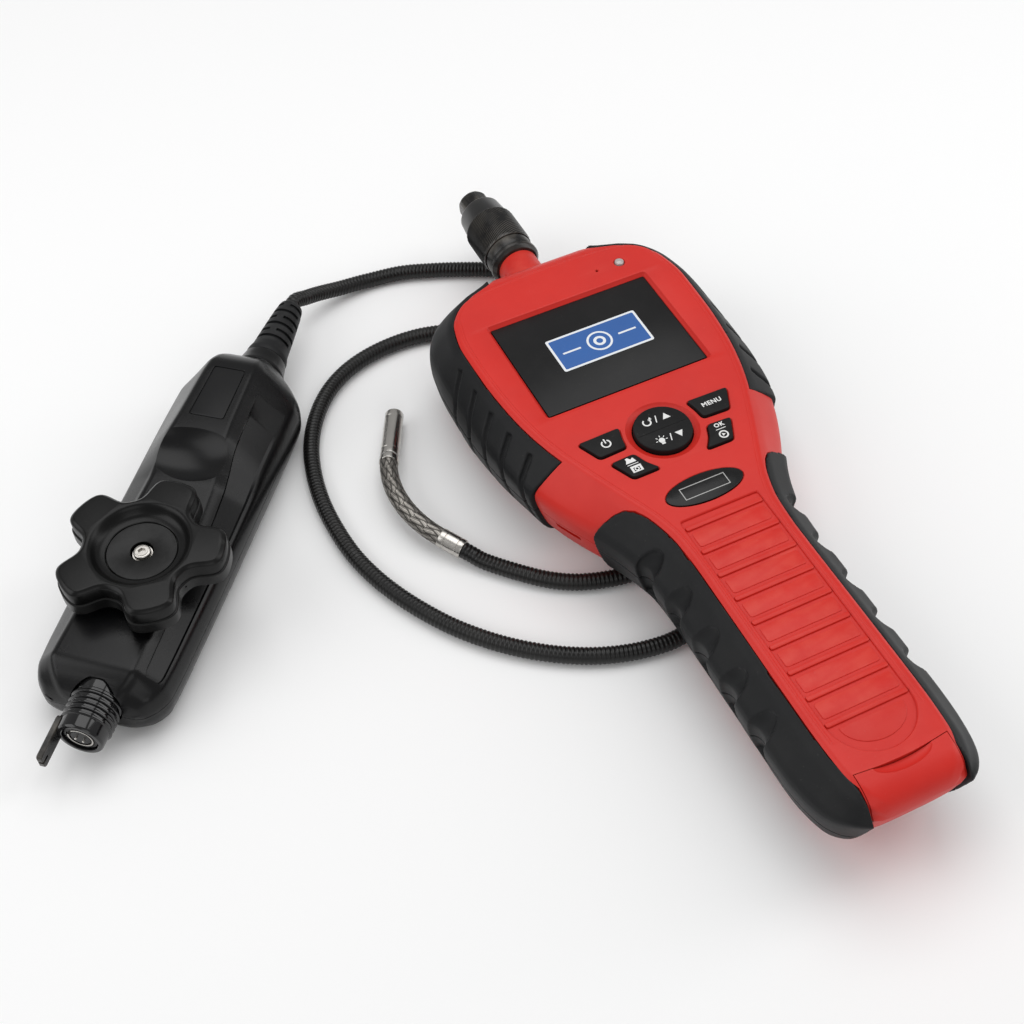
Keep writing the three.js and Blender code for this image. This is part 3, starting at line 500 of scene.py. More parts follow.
class Wiring:
    """Short ways to place and join nodes in one tree."""

    def __init__(self, tree: bpy.types.NodeTree) -> None:
        """Works on the given node tree."""
        self.tree = tree

    def node(self, kind: str, **values: object) -> bpy.types.Node:
        """Adds a node and sets its properties or, where it has none of that name, its inputs."""
        made = self.tree.nodes.new(kind)
        for key, value in values.items():
            if hasattr(made, key):
                setattr(made, key, value)
            else:
                made.inputs[key.replace("_", " ")].default_value = value
        return made

    def join(self, source: Socket, target: Socket) -> None:
        """Joins an output to an input."""
        self.tree.links.new(source, target)

    def math(self, how: str, first: object, second: object = None) -> Socket:
        """A maths node on two sockets or numbers."""
        made = self.node("ShaderNodeMath", operation=how)
        for slot, value in enumerate((first, second)):
            if isinstance(value, Socket):
                self.join(value, made.inputs[slot])
            elif value is not None:
                made.inputs[slot].default_value = value
        return made.outputs[0]

    def ramp(self, source: Socket, low: float, high: float) -> Socket:
        """Stretches a range of values to 0 to 1, clamped."""
        made = self.node("ShaderNodeMapRange", clamp=True)
        made.inputs["From Min"].default_value = low
        made.inputs["From Max"].default_value = high
        self.join(source, made.inputs["Value"])
        return made.outputs["Result"]

    def spread(self, source: Socket, low: float, high: float) -> Socket:
        """Turns 0 to 1 into a range of values."""
        made = self.node("ShaderNodeMapRange", To_Min=low, To_Max=high)
        self.join(source, made.inputs["Value"])
        return made.outputs["Result"]

    def relief(self, height: Socket, strength: float, distance: float) -> Socket:
        """Normal of a fine relief, its distance in metres."""
        made = self.node("ShaderNodeBump", Strength=strength, Distance=distance)
        self.join(height, made.inputs["Height"])
        return made.outputs["Normal"]

    def mix(self, factor: Socket, first: object, second: object) -> Socket:
        """Mixes two colours, given as sockets or values."""
        made = self.node("ShaderNodeMix", data_type="RGBA")
        self.join(factor, made.inputs["Factor"])
        for slot, value in ((6, first), (7, second)):
            if isinstance(value, Socket):
                self.join(value, made.inputs[slot])
            else:
                made.inputs[slot].default_value = value
        return made.outputs[2]


def new_material(name: str) -> tuple[bpy.types.Material, Wiring, bpy.types.Node]:
    """A material, with its wiring and its shader."""
    made = bpy.data.materials.new(name)
    made.use_nodes = True
    return made, Wiring(made.node_tree), made.node_tree.nodes["Principled BSDF"]


@dataclass(frozen=True)
class ShaderKit:
    """The effects that several finishes share, each built once as a node group."""

    grain: bpy.types.NodeTree
    wear: bpy.types.NodeTree
    dust: bpy.types.NodeTree
    braid: bpy.types.NodeTree

    @classmethod
    def build(cls) -> "ShaderKit":
        """Makes the four groups."""
        return cls(cls._grain(), cls._wear(), cls._dust(), cls._braid())

    @staticmethod
    def _grain() -> bpy.types.NodeTree:
        """Fine texture of a mould: a pebbled height and slow cloudy changes."""
        tree = new_group(
            "moulded_grain",
            {"Cells": (FLOAT, 1500.0), "Clouds": (FLOAT, 30.0)},
            {"Height": FLOAT, "Cloud": FLOAT},
        )
        w = Wiring(tree)
        source, sink = tree.nodes["in"], tree.nodes["out"]
        place = w.node("ShaderNodeTexCoord")
        cells = w.node("ShaderNodeTexVoronoi", feature="SMOOTH_F1")
        w.join(place.outputs["Object"], cells.inputs["Vector"])
        w.join(source.outputs["Cells"], cells.inputs["Scale"])
        fine = w.node("ShaderNodeTexNoise", Detail=3.0)
        w.join(place.outputs["Object"], fine.inputs["Vector"])
        w.join(w.math("MULTIPLY", source.outputs["Cells"], 0.6), fine.inputs["Scale"])
        w.join(w.math("ADD", w.math("MULTIPLY", cells.outputs["Distance"], 0.6), fine.outputs["Fac"]),
               sink.inputs["Height"])
        cloud = w.node("ShaderNodeTexNoise", Detail=4.0, Roughness=0.6)
        w.join(place.outputs["Object"], cloud.inputs["Vector"])
        w.join(source.outputs["Clouds"], cloud.inputs["Scale"])
        w.join(w.ramp(cloud.outputs["Fac"], 0.3, 0.7), sink.inputs["Cloud"])
        return tree

    @staticmethod
    def _wear() -> bpy.types.NodeTree:
        """Mask of the edges that hands and tables have rubbed."""
        tree = new_group("edge_wear", {"Reach": (FLOAT, 0.06)}, {"Mask": FLOAT})
        w = Wiring(tree)
        source, sink = tree.nodes["in"], tree.nodes["out"]
        shape = w.node("ShaderNodeNewGeometry")
        place = w.node("ShaderNodeTexCoord")
        noise = w.node("ShaderNodeTexNoise", Scale=140.0, Detail=5.0)
        w.join(place.outputs["Object"], noise.inputs["Vector"])
        edge = w.node("ShaderNodeMapRange", clamp=True)
        w.join(shape.outputs["Pointiness"], edge.inputs["Value"])
        edge.inputs["From Min"].default_value = 0.52
        w.join(w.math("ADD", source.outputs["Reach"], 0.52), edge.inputs["From Max"])
        w.join(w.math("MULTIPLY", edge.outputs["Result"], w.ramp(noise.outputs["Fac"], 0.35, 0.6)), sink.inputs["Mask"])
        return tree

    @staticmethod
    def _dust() -> bpy.types.NodeTree:
        """Mask of light dust on upward faces, in soft patches with a few specks."""
        tree = new_group("settled_dust", {"Amount": (FLOAT, 0.3)}, {"Mask": FLOAT})
        w = Wiring(tree)
        source, sink = tree.nodes["in"], tree.nodes["out"]
        shape = w.node("ShaderNodeNewGeometry")
        split = w.node("ShaderNodeSeparateXYZ")
        w.join(shape.outputs["Normal"], split.inputs[0])
        place = w.node("ShaderNodeTexCoord")
        patch = w.node("ShaderNodeTexNoise", Scale=55.0, Detail=6.0, Roughness=0.7)
        speck = w.node("ShaderNodeTexNoise", Scale=900.0, Detail=1.0)
        for noise in (patch, speck):
            w.join(place.outputs["Object"], noise.inputs["Vector"])
        film = w.math("MULTIPLY", w.ramp(patch.outputs["Fac"], 0.45, 0.8), 0.5)
        specks = w.ramp(speck.outputs["Fac"], 0.72, 0.78)
        both = w.math("MULTIPLY", w.math("ADD", film, specks), w.ramp(split.outputs["Z"], 0.0, 0.8))
        w.join(w.math("MULTIPLY", both, source.outputs["Amount"]), sink.inputs["Mask"])
        return tree

    @staticmethod
    def _braid() -> bpy.types.NodeTree:
        """Crossed bands of fine wire on a sleeve whose UV runs round it and along it; its Shade output is painted
        shade, dark at the band edges and between the wires.
        """
        tree = new_group(
            "wire_braid",
            {"Round": (FLOAT, 9.0), "Along": (FLOAT, 0.75)},
            {"Height": FLOAT, "Shade": FLOAT},
        )
        w = Wiring(tree)
        source, sink = tree.nodes["in"], tree.nodes["out"]
        uv = w.node("ShaderNodeUVMap")
        split = w.node("ShaderNodeSeparateXYZ")
        w.join(uv.outputs["UV"], split.inputs[0])
        u = w.math("MULTIPLY", split.outputs["X"], source.outputs["Round"])
        v = w.math("MULTIPLY", split.outputs["Y"], source.outputs["Along"])
        left, right = w.math("ADD", u, v), w.math("SUBTRACT", u, v)
        lines = []
        for band in (left, right):
            # wires: a light stripe down each wire, with painted shade between the wires
            wave = w.math("SINE", w.math("MULTIPLY", band, math.tau * 4))
            wires = w.math("ADD", w.math("MULTIPLY", wave, 0.18), 0.82)
            # edge: painted shade, darkest at each band's edges where it dips under the crossing band
            edge = w.math("POWER", w.math("PINGPONG", w.math("MULTIPLY", band, 2.0), 1.0), 0.55)
            lines.append(w.math("MULTIPLY", wires, edge))
        over = w.math("PINGPONG", w.math("ADD", w.math("FLOOR", left), w.math("FLOOR", right)), 1.0)
        under = w.math("SUBTRACT", 1.0, over)
        height = w.math("ADD", w.math("MULTIPLY", lines[0], over), w.math("MULTIPLY", lines[1], under))
        w.join(height, sink.inputs["Height"])
        # Shade feeds the braid's colour: painted shade at band edges and between wires, bright on the bands
        w.join(w.math("POWER", height, 1.5), sink.inputs["Shade"])
        return tree


@dataclass(frozen=True)
class Finish:
    """A moulded, painted or metal surface."""

    name: str
    base: Point
    shade: Point
    roughness: tuple[float, float]
    metallic: float = 0.0
    coat: float = 0.0
    coat_roughness: float = 0.1
    specular: float = 0.5
    cells: float = 1500.0
    bump: float = 0.1
    wear: float = 0.0
    worn: Point = (0.5, 0.5, 0.5)
    dust: float = 0.0

    def build(self, kit: ShaderKit) -> bpy.types.Material:
        """Makes the material: grained bump, cloudy colour and gloss, rubbed edges and a little dust."""
        made, w, shader = new_material(self.name)
        shader.inputs["Metallic"].default_value = self.metallic
        shader.inputs["Specular IOR Level"].default_value = self.specular
        shader.inputs["Coat Weight"].default_value = self.coat
        shader.inputs["Coat Roughness"].default_value = self.coat_roughness
        grain = w.node("ShaderNodeGroup", node_tree=kit.grain)
        grain.inputs["Cells"].default_value = self.cells
        colour = w.mix(grain.outputs["Cloud"], (*self.base, 1.0), (*self.shade, 1.0))
        if self.wear:
            wear = w.node("ShaderNodeGroup", node_tree=kit.wear)
            colour = w.mix(w.math("MULTIPLY", wear.outputs["Mask"], self.wear), colour, (*self.worn, 1.0))
        if self.dust:
            dust = w.node("ShaderNodeGroup", node_tree=kit.dust)
            dust.inputs["Amount"].default_value = self.dust
            colour = w.mix(dust.outputs["Mask"], colour, (0.42, 0.40, 0.37, 1.0))
        w.join(colour, shader.inputs["Base Color"])
        w.join(w.spread(grain.outputs["Cloud"], *self.roughness), shader.inputs["Roughness"])
        w.join(w.relief(grain.outputs["Height"], self.bump, 0.0001), shader.inputs["Normal"])
        return made


@dataclass(frozen=True)
class BraidFinish:
    """Woven steel wire, with painted shade at the band edges and between the wires."""

    name: str = "steel_braid"

    def build(self, kit: ShaderKit) -> bpy.types.Material:
        """Makes the material from the shared weave; its colour runs from near-black painted shade to bright steel."""
        made, w, shader = new_material(self.name)
        shader.inputs["Metallic"].default_value = 1.0
        weave = w.node("ShaderNodeGroup", node_tree=kit.braid)
        # near-black here is painted shade at band edges and between wires; the light colour is the lit steel
        w.join(w.mix(weave.outputs["Shade"], (0.012, 0.011, 0.010, 1.0), (0.52, 0.49, 0.45, 1.0)),
               shader.inputs["Base Color"])
        w.join(w.spread(weave.outputs["Shade"], 0.6, 0.34), shader.inputs["Roughness"])
        w.join(w.relief(weave.outputs["Height"], 0.8, 0.0002), shader.inputs["Normal"])
        return made


class Palette:
    """Every material of the object, by name."""

    def __init__(self) -> None:
        """Builds the shared groups and each finish."""
        kit = ShaderKit.build()
        finishes = [
            Finish("red_moulding", (0.62, 0.022, 0.014), (0.56, 0.018, 0.012), (0.40, 0.48), coat=0.04,
                   coat_roughness=0.25, specular=0.28, bump=0.12, cells=1700.0, wear=0.2, worn=(0.75, 0.12, 0.08),
                   dust=0.03),
            Finish("grip_rubber", (0.006, 0.0063, 0.007), (0.009, 0.0094, 0.0102), (0.46, 0.56), specular=0.22,
                   bump=0.25, cells=1200.0, wear=0.25, worn=(0.06, 0.06, 0.06), dust=0.03),
            Finish("key_rubber", (0.005, 0.005, 0.0054), (0.008, 0.008, 0.0084), (0.5, 0.6), specular=0.18, bump=0.2,
                   dust=0.04),
            Finish("black_moulding", (0.0015, 0.0015, 0.0018), (0.0028, 0.0028, 0.0032), (0.24, 0.31), specular=0.26,
                   bump=0.16, cells=1500.0, wear=0.4, worn=(0.05, 0.05, 0.05), dust=0.01),
            Finish("knob_moulding", (0.0015, 0.0015, 0.0015), (0.0026, 0.0026, 0.0026), (0.28, 0.35), specular=0.24,
                   bump=0.14, wear=0.4, worn=(0.05, 0.05, 0.05), dust=0.01),
            Finish("black_anodised", (0.005, 0.005, 0.0055), (0.008, 0.0075, 0.0075), (0.22, 0.32), specular=0.35,
                   bump=0.08, wear=0.4, worn=(0.2, 0.18, 0.15), dust=0.02),
            Finish("gloss_black", (0.004, 0.004, 0.0045), (0.006, 0.006, 0.0065), (0.10, 0.16), coat=0.3,
                   coat_roughness=0.06, specular=0.35, bump=0.04, dust=0.02),
            Finish("tube_skin", (0.005, 0.005, 0.005), (0.009, 0.0085, 0.008), (0.26, 0.38), specular=0.35,
                   bump=0.10, dust=0.04),
            Finish("label_film", (0.004, 0.004, 0.0045), (0.006, 0.006, 0.0065), (0.42, 0.5), specular=0.25, bump=0.05),
            Finish("polished_steel", (0.55, 0.53, 0.50), (0.47, 0.45, 0.42), (0.20, 0.32), metallic=1.0,
                   bump=0.05, cells=2400.0, wear=0.3, worn=(0.7, 0.68, 0.64)),
            Finish("bright_brass", (0.62, 0.45, 0.18), (0.55, 0.38, 0.14), (0.25, 0.35), metallic=1.0, bump=0.05),
            Finish("white_print", (0.78, 0.78, 0.77), (0.70, 0.70, 0.69), (0.5, 0.6), bump=0.05),
            Finish("silver_print", (0.42, 0.42, 0.41), (0.34, 0.34, 0.33), (0.35, 0.45), bump=0.05),
            Finish("display_blue", (0.03, 0.12, 0.38), (0.025, 0.10, 0.33), (0.2, 0.25), bump=0.0),
            Finish("display_glow", (0.80, 0.82, 0.84), (0.74, 0.77, 0.80), (0.2, 0.25), bump=0.0),
            Finish("screen_glass", (0.006, 0.006, 0.0064), (0.008, 0.008, 0.0084), (0.28, 0.34), specular=0.22,
                   bump=0.0, dust=0.02),
            Finish("clear_dome", (0.46, 0.42, 0.40), (0.40, 0.36, 0.35), (0.12, 0.2), coat=1.0,
                   coat_roughness=0.03, bump=0.02),
            Finish("dark_lens", (0.012, 0.014, 0.022), (0.018, 0.016, 0.030), (0.04, 0.08), coat=1.0,
                   coat_roughness=0.02, bump=0.0),
            Finish("circuit_green", (0.015, 0.10, 0.035), (0.010, 0.07, 0.025), (0.35, 0.45), bump=0.1),
            Finish("cell_wrap", (0.04, 0.09, 0.25), (0.03, 0.07, 0.2), (0.3, 0.4), bump=0.05),
        ]
        self.by_name = {finish.name: finish.build(kit) for finish in finishes}
        self.by_name["steel_braid"] = BraidFinish().build(kit)

    def __getitem__(self, name: str) -> bpy.types.Material:
        """The material of that name."""
        return self.by_name[name]


@dataclass
class Workshop:
    """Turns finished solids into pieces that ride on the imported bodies."""

    palette: Palette

    def piece(
        self, name: str, solid: Solid, finish: str, body: str, slot: str,
        stands_for: tuple[str, ...] = (), crease: float = 32.0,
    ) -> bpy.types.Object:
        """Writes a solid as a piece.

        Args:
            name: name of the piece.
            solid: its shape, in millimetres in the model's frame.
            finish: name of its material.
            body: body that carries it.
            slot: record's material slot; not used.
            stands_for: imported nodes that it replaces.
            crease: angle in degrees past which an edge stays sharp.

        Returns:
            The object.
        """
        thing = self.loose(name, solid, finish, crease)
        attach(thing, body)
        self.claim(thing, slot, stands_for)
        return thing

    def loose(self, name: str, solid: Solid, finish: str, crease: float = 32.0) -> bpy.types.Object:
        """Writes a solid as an object that rides on nothing yet."""
        mesh = bpy.data.meshes.new(name)
        solid.bm.transform(Matrix.Scale(MM, 4))
        solid.bm.to_mesh(mesh)
        solid.bm.free()
        mesh.materials.append(self.palette[finish])
        mesh.polygons.foreach_set("use_smooth", [True] * len(mesh.polygons))
        mesh.set_sharp_from_angle(angle=math.radians(crease))
        return placed(name, mesh)

    def claim(self, thing: bpy.types.Object, slot: str, stands_for: tuple[str, ...]) -> None:
        """Hides the imported nodes that a piece replaces, and reports its face count."""
        if stands_for:
            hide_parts(*stands_for)
        LOG.info("%s: %d faces", thing.name, len(thing.data.polygons))

    def dress(self, node: str, finish: str) -> None:
        """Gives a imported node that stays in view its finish."""
        slots = frame["nodes"][node].data.materials
        slots.clear()
        slots.append(self.palette[finish])
        LOG.info("%s: dressed in %s", node, finish)


# ---------------------------------------------------------------- studio
@dataclass
class Studio:
    """Pale floor, soft lights and the camera."""

    eye: Point = (-0.12001, -0.35172, 0.51204)
    right: Point = (0.90003, -0.43474, -0.03072)
    up: Point = (0.35635, 0.69348, 0.62618)
    forward: Point = (0.25092, 0.57453, -0.77908)
    lens: float = 56.25
    sky: float = 0.42
    lamps: tuple[tuple[str, Point, float, float, float], ...] = (
        ("overhead_softbox", (0.15, 0.35, 1.25), 1.1, 1.1, 7.5),
        ("left_softbox", (-1.0, 0.25, 0.75), 0.9, 0.9, 4.5),
        ("right_strip", (0.95, -0.15, 0.55), 0.35, 1.2, 3.0),
        ("front_fill", (-0.25, -1.05, 0.8), 0.8, 0.6, 1.6),
    )

    def build(self) -> None:
        """Makes the floor, world, lamps and camera."""
        scene = bpy.context.scene
        scene.view_settings.view_transform = "Standard"
        world = bpy.data.worlds.new("studio_world")
        world.use_nodes = True
        world.node_tree.nodes["Background"].inputs["Color"].default_value = (1.0, 1.0, 1.0, 1.0)
        world.node_tree.nodes["Background"].inputs["Strength"].default_value = self.sky
        scene.world = world
        self._floor()
        for lamp in self.lamps:
            self._lamp(*lamp)
        self._camera()

    def _floor(self) -> None:
        """Plain pale floor under the object."""
        bm = bmesh.new()
        bmesh.ops.create_grid(bm, x_segments=1, y_segments=1, size=6.0)
        mesh = bpy.data.meshes.new("studio_floor")
        bm.to_mesh(mesh)
        bm.free()
        paint = bpy.data.materials.new("studio_floor")
        paint.use_nodes = True
        shader = paint.node_tree.nodes["Principled BSDF"]
        shader.inputs["Base Color"].default_value = (0.93, 0.93, 0.93, 1.0)
        shader.inputs["Roughness"].default_value = 0.9
        shader.inputs["Specular IOR Level"].default_value = 0.1
        mesh.materials.append(paint)
        floor = bpy.data.objects.new("studio_floor", mesh)
        floor.location.z = -0.0002
        bpy.context.scene.collection.objects.link(floor)

    def _lamp(self, name: str, place: Point, width: float, height: float, power: float) -> None:
        """Adds an area lamp that faces the object."""
        data = bpy.data.lights.new(name, "AREA")
        data.shape = "RECTANGLE"
        data.size, data.size_y, data.energy = width, height, power
        lamp = bpy.data.objects.new(name, data)
        lamp.location = place
        lamp.rotation_mode = "QUATERNION"
        lamp.rotation_quaternion = (Vector((0.03, 0.03, 0.02)) - Vector(place)).to_track_quat("-Z", "Y")
        bpy.context.scene.collection.objects.link(lamp)

    def _camera(self) -> None:
        """Sets the camera at its three-quarter view from above."""
        data = bpy.data.cameras.new("view_camera")
        data.lens, data.sensor_width = self.lens, 36.0
        data.clip_start, data.clip_end = 0.01, 20.0
        camera = bpy.data.objects.new("view_camera", data)
        turn = Matrix((self.right, self.up, [-c for c in self.forward])).transposed()
        camera.matrix_world = Matrix.Translation(self.eye) @ turn.to_4x4()
        bpy.context.scene.collection.objects.link(camera)
        bpy.context.scene.camera = camera


# ---------------------------------------------------------------- probe
@dataclass
class TipFrame:
    """Place of the bending end: local X runs forward along the ferrule and local Z is the hinges' axis."""

    yaw: float = -34.13
    pitch: float = 9.0
    roll: float = 12.47
    start: Point = (17.57, 13.34, 5.3)
    ferrule_length: float = 10.8
    lead: float = 3.0
    link_pitch: float = 7.1
    hinges: int = 7
    bend: float = 9.0

    def __post_init__(self) -> None:
        """Works out the axes and the hinge places."""
        yaw, pitch, roll = (math.radians(a) for a in (self.yaw, self.pitch, self.roll))
        heading = Vector((math.sin(yaw), math.cos(yaw), 0))
        self.forward = heading * math.cos(pitch) + Vector((0, 0, math.sin(pitch)))
        right = self.forward.cross(Vector((0, 0, 1))).normalized()
        lift = right.cross(self.forward)
        side = right * math.cos(roll) - lift * math.sin(roll)
        normal = side.cross(self.forward)
        self.origin = Vector(self.start) + self.forward * self.ferrule_length
        turn = Matrix((self.forward, -side, normal)).transposed()
        self.basis = Matrix.Translation(self.origin) @ turn.to_4x4()
        self.spots: list[tuple[Vector, float]] = []
        at, heading_angle = Vector((self.lead, 0, 0)), 0.0
        for _ in range(self.hinges):
            heading_angle -= self.bend
            self.spots.append((at.copy(), heading_angle))
            a = math.radians(heading_angle)
            at = at + Vector((math.cos(a), math.sin(a), 0)) * self.link_pitch

    def place(self, spot: Vector, heading: float) -> Matrix:
        """Matrix that puts a shape made about Z on the tip, at a spot of the bending plane.

        Args:
            spot: where the shape's origin goes, in local coordinates.
            heading: direction of its axis there, in degrees.

        Returns:
            The placing matrix.
        """
        turn = Matrix.Rotation(math.radians(heading), 4, "Z") @ Matrix.Rotation(math.pi / 2, 4, "Y")
        return self.basis @ Matrix.Translation(spot) @ turn


@dataclass
class BraidedTip:
    """Ferrule, woven bending section, collar and camera head."""

    shop: Workshop
    frame: TipFrame
    braid_radius: float = 3.8
    head_radius: float = 4.0
    head_length: float = 28.6
    sides: int = 48
    rows: int = 30

    def build(self) -> list[bpy.types.Object]:
        """Makes every piece past the tube, in order along it."""
        pieces = [self._ferrule()]
        pieces += [self._sleeve(i) for i in range(self.frame.hinges)]
        return pieces + [self._collar(), self._head(), self._lens(), *self._lamps()]

    def _ferrule(self) -> bpy.types.Object:
        """Polished ferrule with two rolled grooves."""
        n = self.frame.ferrule_length
        profile = [(2.6, -n + 0.05), (3.7, -n + 0.05), (3.95, -n + 0.2), (4.05, -n + 0.5), (4.05, -n + 2.2),
                   (3.9, -n + 2.35), (3.9, -n + 2.65), (4.05, -n + 2.8), (4.05, -2.9), (3.92, -2.75), (3.92, -2.45),
                   (4.05, -2.3), (4.05, -0.4), (3.98, -0.15), (3.88, 0.0), (3.4, 0.02), (2.6, 0.02)]
        solid = Solid.turned(profile, 64, hollow=True).moved(self.frame.place(Vector((0, 0, 0)), 0.0))
        return self.shop.piece("polished_ferrule", solid, "polished_steel", "probe_unit", "steel", ("ferrule",))

    def _sleeve(self, index: int) -> bpy.types.Object:
        """One length of woven sleeve across a hinge; it is attached to no body."""
        spot, after = self.frame.spots[index]
        before = after + self.frame.bend
        half = self.frame.link_pitch / 2
        last = index == self.frame.hinges - 1
        back = self.frame.lead if index == 0 else half
        fore = 1.4 if last else half

        def ahead(angle: float) -> Vector:
            """Unit vector in plan at an angle."""
            return Vector((math.cos(math.radians(angle)), math.sin(math.radians(angle)), 0))

        start, end = spot - ahead(before) * back, spot + ahead(after) * fore
        rings = []
        for row in range(self.rows + 1):
            t = row / self.rows
            centre = start * (1 - t) ** 2 + spot * 2 * t * (1 - t) + end * t * t
            tangent = ((spot - start) * (1 - t) + (end - spot) * t).normalized()
            side = Vector((-tangent.y, tangent.x, 0))
            ring = []
            for k in range(self.sides):
                a = math.tau * k / self.sides
                weave = math.sin(a * 12 + t * math.tau * 1.5) * math.sin(a * 12 - t * math.tau * 1.5)
                r = self.braid_radius - 0.06 + 0.07 * weave
                ring.append(tuple(centre + side * r * math.cos(a) + Vector((0, 0, r * math.sin(a)))))
            rings.append(ring)
        solid = Solid.loft(rings, mapped=True).moved(self.frame.basis)
        thing = self.shop.loose(f"woven_sleeve_{index + 1}", solid, "steel_braid", crease=80.0)
        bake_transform(thing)
        self.shop.claim(thing, "braid", () if last else (f"braid_link_{index + 1}",))
        return thing

    def _end(self) -> Matrix:
        """Placing matrix of everything on the tip body."""
        return self.frame.place(*self.frame.spots[-1])

    def _collar(self) -> bpy.types.Object:
        """Crimped collar between the weave and the head."""
        lead = self.frame.lead
        profile = [(2.6, 0.9), (3.95, 0.9), (4.1, 1.05), (4.15, 1.3), (4.15, lead + 0.7), (4.05, lead + 0.85),
                   (4.0, lead + 1.4), (3.9, lead + 1.6), (2.6, lead + 1.6)]
        solid = Solid.turned(profile, 64, hollow=True).moved(self._end())
        return self.shop.piece("crimp_collar", solid, "polished_steel", "tip", "steel", ("head_collar",))

    def _head(self) -> bpy.types.Object:
        """Camera barrel with a groove near each end and a recessed window."""
        r, start, end = self.head_radius, self.frame.lead + 1.65, self.frame.lead + self.head_length
        profile = [(0, start), (3.75, start), (r - 0.05, start + 0.15), (r, start + 0.4), (r, start + 3.0),
                   (r - 0.12, start + 3.15), (r - 0.12, start + 3.5), (r, start + 3.65), (r, end - 4.0),
                   (r - 0.12, end - 3.85), (r - 0.12, end - 3.5), (r, end - 3.35), (r, end - 0.45),
                   (r - 0.12, end - 0.15), (3.6, end), (3.25, end), (3.2, end - 0.1), (3.2, end - 1.3), (0, end - 1.3)]
        solid = Solid.turned(profile, 64).moved(self._end())
        return self.shop.piece("camera_barrel", solid, "polished_steel", "tip", "steel", ("camera_head",))

    def _lens(self) -> bpy.types.Object:
        """Dark window with a small domed lens at its middle."""
        end = self.frame.lead + self.head_length
        profile = [(0, end - 1.25), (3.1, end - 1.25), (3.1, end - 0.5), (3.0, end - 0.4), (1.35, end - 0.4),
                   (1.3, end - 0.5), (1.2, end - 0.5), (1.1, end - 0.32), (0.6, end - 0.2), (0, end - 0.15)]
        solid = Solid.turned(profile, 48).moved(self._end())
        return self.shop.piece("lens_window", solid, "dark_lens", "tip", "lens", ("head_lens",))

    def _lamps(self) -> list[bpy.types.Object]:
        """Four small lamps round the lens."""
        end = self.frame.lead + self.head_length
        domes = []
        for i in range(4):
            a = math.tau * (i + 0.5) / 4
            dome = Solid.turned([(0, end - 0.5), (0.55, end - 0.5), (0.5, end - 0.3), (0.3, end - 0.22),
                                 (0, end - 0.2)], 16)
            domes.append(dome.at(2.15 * math.cos(a), 2.15 * math.sin(a), 0))
        solid = Solid.grouped(domes).moved(self._end())
        return [self.shop.piece("head_lamps", solid, "clear_dome", "tip", "led")]


@dataclass
class ProbeTube:
    """The long ribbed tube that lies on the table, from the grip's boot to the ferrule."""

    shop: Workshop
    frame: TipFrame
    boot_end: float = 158.0
    rib_pitch: float = 1.7
    crest: float = 3.5
    valley: float = 3.12
    lie: float = 3.52
    route: tuple[Point, ...] = (
        (-86.6, 117.2, 12.8), (-81, 119.8, 10.2), (-75, 121.6, 7.9), (-68.4, 123, 5.8), (-61, 123.9, 4.4),
        (-53.2, 124, 0), (-39, 121.8, 0), (-26, 117, 0), (-13.4, 111.2, 0), (-1.5, 104.8, 0), (11, 96.6, 0),
        (24, 86, 0), (36.4, 72.6, 0), (47, 56.8, 0), (54.9, 38.6, 0), (59.4, 19, 0), (60.8, -2, 0), (58.8, -23, 0),
        (53.4, -43.5, 0), (44.6, -63, 0), (32.6, -80.6, 0), (17.6, -95.6, 0), (0.8, -106.8, 0), (-13.6, -112.8, 0),
        (-26.8, -115, 0), (-35.6, -114.4, 0), (-45, -112.4, 0), (-56, -108.4, 0), (-66, -103.1, 0),
        (-75.3, -96.7, 0), (-84.1, -89.2, 0), (-92.4, -80.5, 0), (-100.2, -70.5, 0), (-107.4, -58.6, 0),
        (-113.2, -46.8, 0), (-117.6, -35, 0), (-120.8, -22, 0), (-122.3, -7, 0), (-122.2, 9, 0), (-120, 24.3, 0),
        (-115.6, 39.3, 0), (-109.2, 52, 0), (-101.2, 62.6, 0), (-92.2, 70.6, 0), (-82, 76.2, 0), (-70.9, 79.5, 0),
        (-59, 80.8, 0), (-49.5, 80.3, 0), (-43, 79, 0), (-30, 74.6, 0), (-16, 67.4, 0), (-2.6, 57.4, 0),
        (9.6, 44.6, 0), (19.6, 29.6, 0), (26.8, 12.6, 0), (30.4, -5.4, 0), (30, -23.4, 0), (25.6, -40.4, 0),
        (17.4, -55.4, 0), (6.4, -67.4, 0), (-6, -75.6, 0), (-17.4, -79.4, 0), (-28.5, -79.6, 0), (-39, -77.2, 0),
        (-48.2, -73.5, 0), (-56.3, -68.2, 0), (-63.6, -61.6, 3.65),
    )

    def centreline(self) -> list[Vector]:
        """The tube's line, in millimetres, four points to each rib."""
        turn = Matrix.Rotation(math.radians(GRIP_TURN), 3, "Z")
        start = turn @ Vector((0, self.boot_end, AXIS_H)) + KNOB_AT
        away = turn @ Vector((0, 1, 0))
        ferrule = Vector(self.frame.start)
        points = [start - away * 3.0, start + away * 4.5]
        points += [Vector((x, y, z or self.lie)) + HANDSET for x, y, z in self.route]
        points += [ferrule - self.frame.forward * gap for gap in (9.0, 4.0, 0.05)]
        return through(points, self.rib_pitch / 4)

    def build(self, followers: list[bpy.types.Object]) -> bpy.types.Object:
        """Args:
            followers: the pieces on its far end; not used.

        Returns:
            The tube.
        """
        path = self.centreline()
        middle = (self.crest + self.valley) / 2
        radii = [(self.valley, middle + 0.06, self.crest, middle + 0.06)[i % 4] for i in range(len(path))]
        solid = Solid.swept(path, radii, 20)
        tube = self.shop.piece("ribbed_tube", solid, "tube_skin", "probe_unit", "tube", ("probe_tube",), crease=60.0)
        return tube


# ---------------------------------------------------------------- handset
class Cover(Enum):
    """The two pairs of overmoulded rubbers on the handset."""

    HEAD = "head"
    GRIP = "grip"


